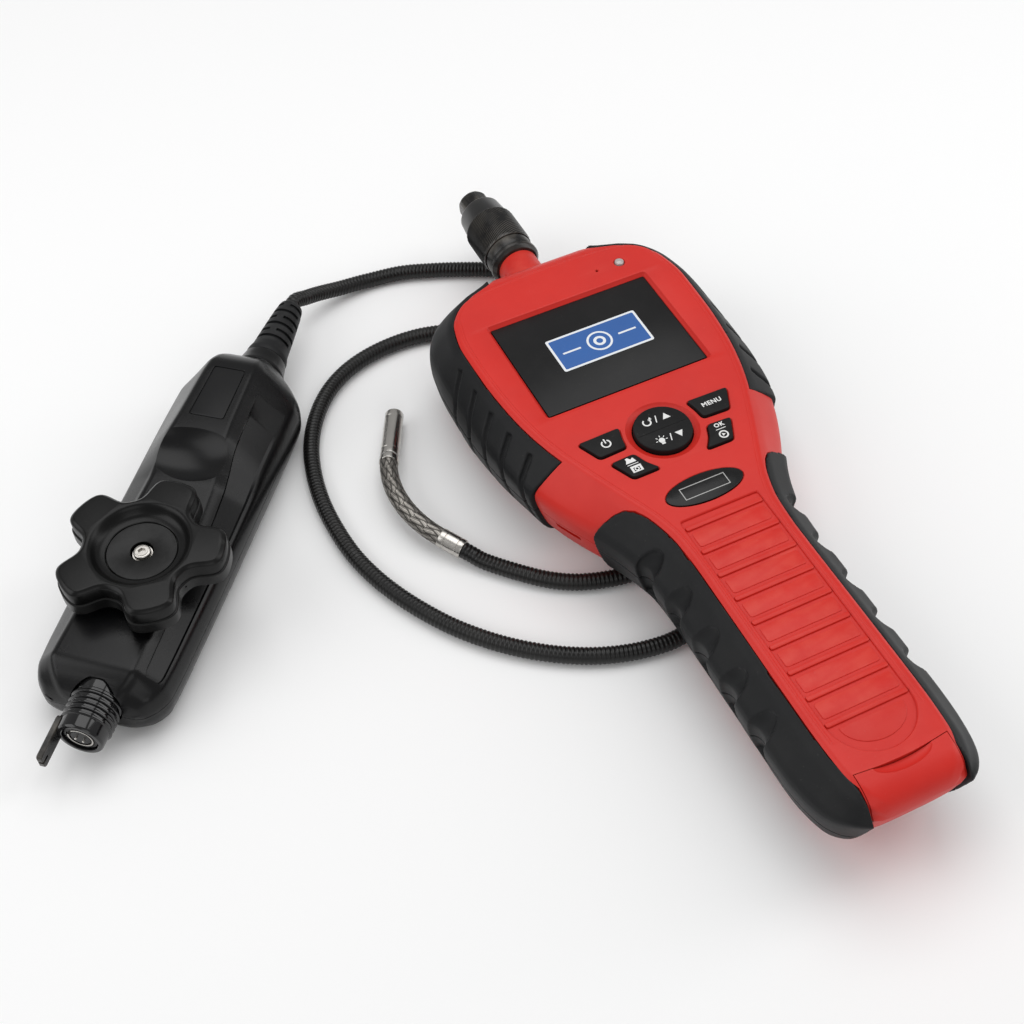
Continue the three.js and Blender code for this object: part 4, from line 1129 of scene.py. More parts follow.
@dataclass
class HandsetForm:
    """Outer form of the handset: stations along Y from the screen's centre, and what follows from them."""

    stations: tuple[tuple[float, ...], ...] = (
        (-228.3, 16, 10.6, 8.5, 31), (-227.4, 18.8, 12.8, 5.6, 27), (-225.6, 21.8, 15.2, 3.2, 21.8),
        (-222.5, 25, 17.4, 1.4, 14.9), (-218, 28, 19.2, 0.3, 7.6), (-212, 30.2, 20.6, 0, 2.9),
        (-205, 31.8, 21.2, 0, 0.9), (-198, 32.4, 21.5, 0, 0), (-190, 32.6, 21.6, 0, 0), (-150, 32.4, 21.4, 0, 0),
        (-118, 32.4, 21.2, 0, 0), (-103, 33.2, 22, 0, 0), (-92, 36, 24.4, 0, 0), (-84, 39, 27.4, 0, 0),
        (-76, 43, 30.8, 0, 0), (-66, 48.2, 35, 0, 0), (-56, 52.6, 39, 0, 0), (-46, 55.8, 42.8, 0, 0),
        (-34, 58.2, 46.2, 0, 0), (-20, 59.8, 48.8, 0, 0), (0, 60.4, 50.6, 0, 0), (20, 60.2, 51, 0, 0),
        (34.8, 58.6, 48.4, 0, 0), (42.7, 55.4, 43.2, 0, 0), (48, 51.6, 35, 0, 0), (51, 48.4, 27, 0.4, 0.4),
        (54, 44, 23.6, 2.1, 2.1), (56.6, 38.5, 20.6, 4.8, 4.8), (58, 32, 17, 8.5, 8.5),
    )
    proud: float = 2.0
    rubber: float = 4.2
    wall: float = 2.5
    face_wall: float = 3.0
    step: float = 2.2
    tail_half: float = 18.5

    def __post_init__(self) -> None:
        """Draws the smooth edge of the face once."""
        self.fine = splined(list(self.stations), 1.5)

    def read(self, y: float, column: int) -> float:
        """A value of the smoothed stations at one place along Y."""
        below = [row for row in self.fine if row[0] <= y] or self.fine[:1]
        above = [row for row in self.fine if row[0] > y] or self.fine[-1:]
        a, b = below[-1], above[0]
        share = 0.0 if b[0] == a[0] else (y - a[0]) / (b[0] - a[0])
        return a[column] + (b[column] - a[column]) * max(0.0, min(1.0, share))

    def section(self, row: tuple[float, ...], grow: float, sink: float) -> Plan:
        """Closed section across the handset at one station.

        Args:
            row: the station.
            grow: how far the sides move outwards.
            sink: how far the face's edges and the back move inwards.

        Returns:
            The section in X and Z.
        """
        y, half, face, drop, rise = row
        w, e = half + grow, face - sink
        lean = min(1.0, max(0.35, (20 - y) / 60))
        slim = min(1.0, w / 26)
        low, top = REAR_Z + sink, FACE_Z - sink
        middle = (REAR_Z + rise + FACE_Z - drop) / 2
        reach = max(0.8, (FACE_Z - drop - REAR_Z - rise) / 2 - sink)
        side = [
            (w - (14 + 3 * lean) * slim, low), (w - (6 + 4.5 * lean) * slim, low + 1.4),
            (w - (1.9 + 5.1 * lean) * slim, low + 6), (w - 4.2 * lean * slim, PARTING_Z - 4),
            (w - 2.2 * lean * slim, PARTING_Z + 2.5), (w - (w - e) * (0.2 - 0.14 * lean), top - 13.5),
            (w - (w - e) * 0.52, top - 7), (e + 2.2 + grow * 0.25, top - 3), (e, top - 1.2), (e - 1.6, top),
        ]
        side = [(x, middle - reach + (z - low) * 2 * reach / (top - low)) for x, z in side]
        return rounded([*side, *mirrored(side)], 3.4, 3)

    def body(self, grow: float, sink: float, ends: float) -> Solid:
        """The whole handset's form, grown or shrunk."""
        count = len(self.stations)
        rows = []
        for i, row in enumerate(self.stations):
            shift = -ends if i < 6 else ends if i > count - 7 else 0.0
            rows.append((row[0] + shift, *row[1:]))
        fine = splined(rows, self.step)
        return Solid.loft([[(x, row[0], z) for x, z in self.section(row, grow, sink)] for row in fine])

    def side_at(self, y: float, z: float) -> float:
        """X of the rubber's outer surface on the right, at a place along Y and a height."""
        ring = [p for p in self.section((y, *[self.read(y, k) for k in (1, 2, 3, 4)]), self.proud, 0) if p[0] > 0]
        for a, b in zip(ring, ring[1:]):
            if a[1] <= z <= b[1] and b[1] > a[1]:
                return a[0] + (b[0] - a[0]) * (z - a[1]) / (b[1] - a[1])
        return max(p[0] for p in ring)

    def zone(self, cover: Cover, gap: float) -> Plan:
        """Plan of one rubber on the right, set back by a gap."""
        def edge(y: float) -> float:
            """X of the face's edge, set back by the gap."""
            return self.read(y, 2) - gap

        if cover is Cover.HEAD:
            inner = [(edge(y), y) for y in (-49.5, -42, -34, -26, -17, -8, 0, 8, 16, 24, 30, 34.8, 39, 42.7, 45.5, 48)]
            inner[0] = (edge(-49.5), -49.5 - gap)
            outline = [*inner, (25.6 - gap, 50.2), (24 - gap, 52), (24 - gap, 70), (90, 70), (90, -49.5 - gap)]
            return outline[::-1]
        inner = [(edge(y), y) for y in (-88, -92, -97, -103, -118, -140, -165, -190, -200)]
        start = [(90, -77.5 + gap), (38, -77.9 + gap), (34.6, -78.6 + gap), (31, -80.4 + gap),
                 (28.4 - gap, -83.4 + gap)]
        foot = self.tail_half + 0.6 - gap
        return [*start, *inner, (20.9 - gap, -206), (20 - gap, -209), (foot, -213), (foot, -240), (90, -240)]

    def cover_zone(self, gap: float) -> Solid:
        """Space of the battery cover at the tail, with its bowed front line."""
        half = self.tail_half - gap
        xs = [half * (1 - i / 12) for i in range(25)]
        line = [(x, -211.6 - 3.2 * (math.cos(math.pi * x / 42) + 1) / 2 - gap) for x in xs]
        return Solid.prism([(-half, -260), (half, -260), *line], -20, FACE_Z + 20)


@dataclass
class HandsetCase:
    """Red shells, battery cover and black rubbers of the handset."""

    shop: Workshop
    form: HandsetForm
    rocker_y: float = -53.9
    rocker_r: float = 11.6
    badge_y: float = -86.0
    panel_half: float = 16.6
    ribs: int = 9
    rib_first: float = -100.3
    rib_pitch: float = 11.7
    neck_r: float = 9.0
    led_at: tuple[float, float] = (30.0, 37.7)
    mic_at: tuple[float, float] = (19.2, 37.4)
    upper_key: tuple[tuple[float, float], ...] = ((16.9, -55.7), (28.4, -56.2), (32.8, -46.1), (15, -45.7),
                                                  (16.3, -50.6))
    lower_key: tuple[tuple[float, float], ...] = ((10.3, -70.5), (21.6, -70.6), (26.2, -60.5), (16.1, -60),
                                                  (13.9, -65.6))

    def build(self) -> None:
        """Makes the shells, the cover and the eight rubbers."""
        form = self.form
        case = form.body(0, 0, 0)
        core = form.body(form.proud - form.rubber, form.rubber - form.proud, -1.8)
        skin = form.body(form.proud, 0, form.proud)
        cavity = form.body(form.proud - form.rubber - form.wall, form.face_wall, -1.8 - form.wall)
        backing = form.body(form.proud - form.rubber - GAP, form.rubber - form.proud + GAP, -1.8 - GAP)
        zones = [self._zone(cover, side, GAP) for cover in Cover for side in Side]
        neck_hole = along_y(Solid.bar(self.neck_r + GAP, 41, 81), SOCKET_Z)
        shell = case.cut(*zones).joined(backing).cut(cavity, form.cover_zone(0.0), neck_hole)
        self._front(self._half(shell, True))
        self._rear(self._half(shell, False))
        self._tail(case.kept(form.cover_zone(GAP)).cut(cavity))
        for side in Side:
            self._head_rubber(side, skin, core)
            self._grip_rubber(side, skin, core)

    def _zone(self, cover: Cover, side: Side, gap: float) -> Solid:
        """Upright space of one rubber."""
        outline = self.form.zone(cover, gap)
        return Solid.prism(outline if side is Side.RIGHT else mirrored(outline), -5, FACE_Z - 1.1)

    def _half(self, solid: Solid, front: bool) -> Solid:
        """The part of a solid in front of or behind the parting line."""
        low, high = (PARTING_Z + GAP / 2, FACE_Z + 20) if front else (-20.0, PARTING_Z - GAP / 2)
        return solid.kept(Solid.block((-120, -260, low), (120, 120, high)))

    def key_outlines(self) -> dict[str, Plan]:
        """Rounded plans of the four keys round the rocker."""
        upper, lower = rounded(list(self.upper_key), 1.5), rounded(list(self.lower_key), 1.5)
        return {"menu_key": upper, "ok_key": lower, "power_key": mirrored(upper), "photo_key": mirrored(lower)}

    def _front(self, shell: Solid) -> None:
        """Face shell with its openings, bead and ribbed panel."""
        tools = [pocket(grown(outline, GAP), FACE_Z - 12, 0.35) for outline in self.key_outlines().values()]
        well, rim = self.rocker_r + 0.45, self.rocker_r + 2.6
        tools.append(Solid.turned([
            (0, FACE_Z - 12), (well, FACE_Z - 12), (well, FACE_Z - 1.3), (well + 0.3, FACE_Z - 1.15),
            (rim - 0.6, FACE_Z - 0.75), (rim, FACE_Z - 0.3), (rim + 0.4, FACE_Z + 0.02), (rim + 0.4, FACE_Z + 5),
            (0, FACE_Z + 5)], 96).at(0, self.rocker_y, 0))
        opening = rounded(rectangle(-35.8, 35.8, -26.95, 26.95), 0.8, 3)
        levels = [(opening, FACE_Z - 10), (opening, FACE_Z - 1.7), (grown(opening, 0.9), FACE_Z - 0.7),
                  (grown(opening, 1.25), FACE_Z - 0.18), (grown(opening, 1.7), FACE_Z + 0.02),
                  (grown(opening, 1.7), FACE_Z + 5)]
        tools.append(Solid.stack(levels))
        for (x, y), r in ((self.led_at, 2.3), (self.mic_at, 0.6)):
            tools.append(Solid.turned([(0, FACE_Z - 12), (r, FACE_Z - 12), (r, FACE_Z - 0.3), (r + 0.3, FACE_Z + 0.02),
                                       (r + 0.3, FACE_Z + 5), (0, FACE_Z + 5)], 32).at(x, y, 0))
        tools.append(pocket(self.badge_outline(GAP), FACE_Z - 0.8, 0.2))
        half = self.panel_half
        panel = [*arc(0, -194, half, 180, 360, 24), (half, -97.6), (half - 0.4, -96.7), (half - 1.3, -96.5),
                 (1.3 - half, -96.5), (0.4 - half, -96.7), (-half, -97.6)]
        tools.append(pocket(panel, FACE_Z - 0.9, 0.4))
        shell = shell.cut(*tools)
        extras = []
        for i in range(self.ribs):
            y = self.rib_first - i * self.rib_pitch
            bar = rounded(rectangle(-16.3, 16.3, y - 1.1, y + 1.1), 1.0, 4)
            extras.append(pad(bar, FACE_Z - 1.6, FACE_Z - 0.05, 0.5))
            if i + 1 < self.ribs:
                plate = rounded(rectangle(-15.2, 15.2, y - 9.3, y - 2.5), 1.2, 3)
                extras.append(pad(plate, FACE_Z - 1.6, FACE_Z - 0.62, 0.2))
        end = self.rib_first - (self.ribs - 1) * self.rib_pitch
        last = [(x, end - 2.6 + y * 0.78) for x, y in arc(0, 0, 12.7, 180, 360, 24)]
        extras.append(pad(last, FACE_Z - 1.6, FACE_Z - 0.62, 0.2))
        shell = shell.joined(*extras, *self._bead())
        self.shop.piece("face_moulding", shell.moved(PLACE), "red_moulding", "handset", "red", ("front_shell",), 24.0)

    def _bead(self) -> list[Solid]:
        """Fine raised line inside the face's edge."""
        line = [Vector((self.form.read(y, 2) - 3.1, y, 0)) for y in
                (-205, -190, -165, -150, -135, -118, -103, -92, -84, -76, -66, -56, -46, -34, -20, 0, 14, 26, 33)]
        top = [Vector(p) for p in ((44.6, 38.5, 0), (41.4, 42.6, 0), (36.6, 45.6, 0), (29, 47.2, 0), (16, 48.2, 0),
                                   (0, 48.6, 0))]
        right = line + top
        whole = right + [Vector((-p.x, p.y, 0)) for p in reversed(right[:-1])]
        path = through(whole, 1.6)
        for point in path:
            point.z = FACE_Z - 0.62 - 0.9 * min(1.0, max(0.0, (-200 - point.y) / 5))
        return [Solid.swept(path, [0.85] * len(path), 16)]

    def badge_outline(self, gap: float) -> Plan:
        """Oval seat of the badge."""
        turns = [math.tau * i / 72 for i in range(72)]
        return [((16.2 + gap) * math.cos(a), self.badge_y + (6.5 + gap) * math.sin(a)) for a in turns]

    def _rear(self, shell: Solid) -> None:
        """Back shell with a card slot and four screw wells."""
        slot = Solid.block((-80, -68.4, PARTING_Z - 4.4), (-36.5, -57.6, PARTING_Z - 1.6))
        wells, screws = [], []
        for x, y in ((38, 34), (-38, 34), (20, -92), (-20, -92)):
            low = REAR_Z - 1
            wells.append(Solid.bar(3.4, low, REAR_Z + 1.9, 32).at(x, y, 0))
            head = Solid.turned([(0, REAR_Z + 2.6), (2.7, REAR_Z + 2.6), (2.7, REAR_Z + 1.2), (2.2, REAR_Z + 0.7),
                                 (0, REAR_Z + 0.6)], 32)
            cross = [Solid.block((-1.6, -0.28, REAR_Z), (1.6, 0.28, REAR_Z + 1.5)),
                     Solid.block((-0.28, -1.6, REAR_Z), (0.28, 1.6, REAR_Z + 1.5))]
            screws.append(head.cut(*cross).at(x, y, 0))
        shell = shell.cut(slot, *wells)
        self.shop.piece("back_moulding", shell.moved(PLACE), "red_moulding", "handset", "red", ("rear_shell",), 24.0)
        solid = Solid.grouped(screws)
        self.shop.piece("case_screws", solid.moved(PLACE), "polished_steel", "handset", "steel")

    def _tail(self, cover: Solid) -> None:
        """Battery cover with its crescent finger notch."""
        bm = bmesh.new()
        bmesh.ops.create_uvsphere(bm, u_segments=48, v_segments=24, radius=1.0)
        notch = Solid(bm).moved(Matrix.Translation((0, -214.6, FACE_Z + 0.1)) @ Matrix.Diagonal((11.5, 4.8, 1.9, 1)))
        cover = cover.cut(notch)
        self.shop.piece("tail_cover", cover.moved(PLACE), "red_moulding", "cover", "red", ("battery_cover",), 24.0)

    def _rubber(self, name: str, nodes: str, solid: Solid, side: Side) -> None:
        """Splits a rubber at the parting line and writes its two halves."""
        word = "left" if side is Side.LEFT else "right"
        for front in (True, False):
            part = self._half(solid, front)
            if not front and side is Side.LEFT and nodes == "head_bumper":
                part = part.cut(Solid.block((-80, 29, PARTING_Z - 9), (-48, 45, PARTING_Z - 3)))
            place = "front" if front else "rear"
            part = part.cast(0.5, 2)
            self.shop.piece(f"{name}_{word}_{place}", part.moved(PLACE), "grip_rubber", "handset", "rubber",
                            (f"{nodes}_{word}_{place}",), 60.0)

    def _head_rubber(self, side: Side, skin: Solid, core: Solid) -> None:
        """Rubber round the head, with five slanting slots down its side."""
        tools = []
        for i in range(5):
            path = []
            for k in range(24):
                z = FACE_Z - 4.5 - k * 1.45
                y = 15.7 - 13.25 * i - 0.62 * min(k * 1.45 + 1, 12.5)
                path.append(Vector((side.value * self.form.side_at(y, z), y, z)))
            path = [p for p in path if p.z > REAR_Z + 6]
            tools.append(Solid.swept(path, [1.9] * len(path), 12, 0.7, (0, 1, 0)))
        solid = skin.kept(self._zone(Cover.HEAD, side, 0)).cut(core, *tools)
        self._rubber("head_rubber", "head_bumper", solid, side)

    def _grip_rubber(self, side: Side, skin: Solid, core: Solid) -> None:
        """Rubber along the grip, with five scoops for the fingers."""
        tools = []
        for i in range(5):
            y = -102.5 - 19.4 * i
            path, radii = [], []
            for k in range(26):
                z = FACE_Z - 5.6 - k * 1.3
                if z < REAR_Z + 7:
                    break
                path.append(Vector((side.value * (self.form.side_at(y, z) + 0.1), y + 0.4, z)))
                radii.append(3.0 * math.sqrt(max(0.03, 1 - max(0.0, (6 - k) / 6.2) ** 2)))
            tools.append(Solid.swept(path, radii, 28, 1.7, (0, 1, 0)))
        solid = skin.kept(self._zone(Cover.GRIP, side, 0)).cut(core, *tools)
        self._rubber("grip_rubber", "grip_bumper", solid, side)


@dataclass
class FacePanel:
    """Screen, keys with their marks, badge and the fittings inside."""

    shop: Workshop
    case: HandsetCase
    lift: float = 1.1
    mark: float = 0.05

    def build(self) -> None:
        """Makes everything that shows in the face, and dresses what shows through it."""
        self._screen()
        self._keys()
        self._rocker()
        self._badge()
        self._indicator()
        for node, finish in {
            "lcd_panel": "cell_wrap", "main_board": "circuit_green", "key_pad": "key_rubber",
            "battery_pack": "cell_wrap", "card_slot": "polished_steel",
        }.items():
            self.shop.dress(node, finish)

    def _screen(self) -> None:
        """Glass, and the waiting picture that it shows: a blue plate with a lens mark."""
        glass = rounded(rectangle(-35.45, 35.45, -26.6, 26.6), 0.5, 3)
        solid = pad(glass, FACE_Z - 2.6, FACE_Z - 1.4, 0.15).moved(PLACE)
        self.shop.piece("screen_glass", solid, "screen_glass", "handset", "screen", ("screen_lens",))
        low = FACE_Z - 1.4
        frame = Solid.prism(rounded(rectangle(-20.4, 20.4, -9.4, 9.4), 1.0), low, low + 0.02)
        plate = Solid.prism(rounded(rectangle(-19.4, 19.4, -8.4, 8.4), 0.6), low + 0.01, low + 0.035)
        rings = [self._ring(0, 0, 5.4, 4.5, low + 0.03, 0.02), self._ring(0, 0, 2.6, 1.4, low + 0.03, 0.02),
                 Solid.prism(rectangle(-16.6, -8.6, -0.45, 0.45), low + 0.03, low + 0.05),
                 Solid.prism(rectangle(8.6, 16.6, -0.45, 0.45), low + 0.03, low + 0.05)]
        tilt = PLACE @ Matrix.Translation((1.6, 1.4, 0))
        self.shop.piece("picture_frame", frame.moved(tilt), "display_glow", "handset", "screen")
        self.shop.piece("picture_plate", plate.moved(tilt), "display_blue", "handset", "screen")
        self.shop.piece("picture_mark", Solid.grouped(rings).moved(tilt), "display_glow", "handset", "screen")

    def _ring(self, x: float, y: float, outer: float, inner: float, low: float, thick: float) -> Solid:
        """Flat printed ring."""
        profile = [(inner, low), (outer, low), (outer, low + thick), (inner, low + thick)]
        return Solid.turned(profile, 48, hollow=True).at(x, y, 0)

    def _stroke(self, outline: Plan, x: float, y: float) -> Solid:
        """Flat printed shape on top of a key."""
        top = FACE_Z + self.lift
        return Solid.prism([(px + x, py + y) for px, py in outline], top - 0.02, top + self.mark)

    def _bow(self, r: float, width: float, start: float, end: float, x: float, y: float) -> Solid:
        """Printed piece of a ring between two angles in degrees."""
        outline = [*arc(0, 0, r + width / 2, start, end, 24), *arc(0, 0, r - width / 2, end, start, 24)]
        return self._stroke(outline, x, y)

    def _word(self, text: str, size: float, x: float, y: float) -> Solid:
        """Printed word on top of a key, centred on a point."""
        curve = bpy.data.curves.new(text, "FONT")
        curve.body, curve.size, curve.align_x, curve.align_y = text, size, "CENTER", "CENTER"
        curve.extrude, curve.offset, curve.resolution_u = 0.035, 0.09, 3
        curve.space_character = 1.12
        thing = placed(text, curve)
        mesh = bpy.data.meshes.new_from_object(thing.evaluated_get(bpy.context.evaluated_depsgraph_get()))
        bm = bmesh.new()
        bm.from_mesh(mesh)
        bmesh.ops.remove_doubles(bm, verts=bm.verts, dist=1e-4)
        bpy.data.objects.remove(thing)
        bpy.data.curves.remove(curve)
        bpy.data.meshes.remove(mesh)
        return Solid(bm).at(x, y, FACE_Z + self.lift + 0.015)

    def _keys(self) -> None:
        """The four soft keys and the white marks on them."""
        tri = [(-0.75, -0.95), (0.95, 0.0), (-0.75, 0.95)]
        marks = {
            "menu_key": [self._word("MENU", 2.9, 23.4, -50.7)],
            "ok_key": [self._word("OK", 2.7, 19.9, -62.3), self._stroke(rectangle(-2.1, 2.1, -0.16, 0.16), 19.6, -64.3),
                       self._bow(1.65, 0.6, 0, 359.9, 19.2, -67.3),
                       self._stroke([(p[0] * 0.8, p[1] * 0.8) for p in tri], 19.25, -67.3)],
            "power_key": [self._bow(1.75, 0.6, 122, 418, -23.2, -51.0),
                          self._stroke(rectangle(-0.3, 0.3, 0.2, 2.5), -23.2, -51.0)],
            "photo_key": [
                self._stroke([(-2.2, -1.2), (2.2, -1.2), (1.5, 1.0), (0.4, 0.3), (-0.5, 1.5), (-1.5, 1.3), (-1.4, 0.4)],
                             -19.2, -62.6),
                self._stroke(rectangle(-2.3, 2.3, -0.16, 0.16), -19.0, -64.7),
                *self._camera_mark(-18.6, -67.2)],
        }
        top, flange = FACE_Z + self.lift, FACE_Z - 3.0 - GAP
        for name, outline in self.case.key_outlines().items():
            skirt = grown(outline, 0.9)
            cap = Solid.stack([(skirt, flange - 1.2), (skirt, flange), (grown(outline, 0.02), flange + 0.02),
                               (outline, top - 0.5), (grown(outline, -0.15), top - 0.15), (grown(outline, -0.45), top)])
            self.shop.piece(f"{name}_cap", cap.moved(PLACE), "key_rubber", name, "key", (name,), 40.0)
            printed = Solid.grouped(marks[name])
            self.shop.piece(f"{name}_mark", printed.moved(PLACE), "white_print", name, "led")

    def _camera_mark(self, x: float, y: float) -> list[Solid]:
        """Small picture of a camera, in separate strokes."""
        frame = [self._stroke(rectangle(-2.2, 2.2, 0.75, 1.6), x, y),
                 self._stroke(rectangle(-2.2, 2.2, -1.6, -1.1), x, y),
                 self._stroke(rectangle(-2.2, -1.3, -1.05, 0.7), x, y),
                 self._stroke(rectangle(1.3, 2.2, -1.05, 0.7), x, y)]
        return [*frame, self._bow(0.75, 0.45, 0, 359.9, x, y - 0.15)]

    def _rocker(self) -> None:
        """Round rocker with its post, centre line and marks."""
        r, top = self.case.rocker_r, FACE_Z + self.lift
        cap = Solid.turned([(0, FACE_Z - 3.4), (r, FACE_Z - 3.4), (r, top - 0.6), (r - 0.15, top - 0.25),
                            (r - 0.5, top), (0, top)], 96)
        line = Solid.block((-r + 0.8, -0.11, top - 0.12), (r - 0.8, 0.11, top + 1))
        post = FACE_Z - 3.3 - 1.2 - 0.9
        cap = cap.cut(line).joined(Solid.bar(2, post, FACE_Z - 3, 24))
        place = PLACE @ Matrix.Translation((0, self.case.rocker_y, 0))
        self.shop.piece("rocker_cap", cap.moved(place), "key_rubber", "rocker_key", "key", ("rocker_key",), 40.0)
        up, down = [(-1.7, -1.35), (1.7, -1.35), (0, 1.65)], [(-1.7, 1.35), (0, -1.65), (1.7, 1.35)]
        slash = [(-0.75, -1.7), (-0.3, -1.7), (0.75, 1.7), (0.3, 1.7)]
        rays = []
        for k in range(5):
            a = math.radians(180 - 45 * k)
            ray = [(1.7, -0.17), (2.5, -0.17), (2.5, 0.17), (1.7, 0.17)]
            turned = [(px * math.cos(a) - py * math.sin(a), px * math.sin(a) + py * math.cos(a)) for px, py in ray]
            rays.append(self._stroke(turned, -3.4, -5.3))
        marks = [
            self._bow(1.55, 0.62, -240, 50, -4.2, 5.2), self._stroke([(-0.1, 0.2), (1.5, 0.1), (1.1, 1.5)], -3.2, 5.9),
            self._stroke(slash, -0.2, 5.3), self._stroke(up, 3.9, 5.2),
            self._stroke(arc(0, 0, 1.25, 0, 340, 20), -3.4, -5.3),
            self._stroke(rectangle(-0.75, 0.75, -2.0, -1.1), -3.4, -5.3),
            *rays, self._stroke(slash, 0.6, -5.3), self._stroke(down, 4.6, -5.3),
        ]
        self.shop.piece("rocker_marks", Solid.grouped(marks).moved(place), "white_print", "rocker_key", "led")

    def _badge(self) -> None:
        """Blank oval plate with a fine silver frame."""
        top = FACE_Z + 0.35
        plate = pad(self.case.badge_outline(0), FACE_Z - 0.5, top, 0.3)
        self.shop.piece("oval_badge", plate.moved(PLACE), "black_moulding", "handset", "gloss", ("badge",), 40.0)
        outer, inner = rectangle(-9.6, 9.6, -2.9, 2.9), rectangle(-9.25, 9.25, -2.55, 2.55)
        frame = Solid.prism(outer, top - 0.02, top + 0.05).cut(Solid.prism(inner, top - 1, top + 1))
        place = PLACE @ Matrix.Translation((0, self.case.badge_y, 0))
        self.shop.piece("badge_frame", frame.moved(place), "silver_print", "handset", "led")

    def _indicator(self) -> None:
        """Small clear dome beside the microphone hole."""
        x, y = self.case.led_at
        dome = Solid.turned([(0, FACE_Z - 3), (2, FACE_Z - 3), (2, FACE_Z + 0.05), (1.85, FACE_Z + 0.4),
                             (1.4, FACE_Z + 0.7), (0.75, FACE_Z + 0.86), (0, FACE_Z + 0.9)], 32).at(x, y, 0)
        self.shop.piece("indicator_dome", dome.moved(PLACE), "clear_dome", "handset", "led", ("status_led",))


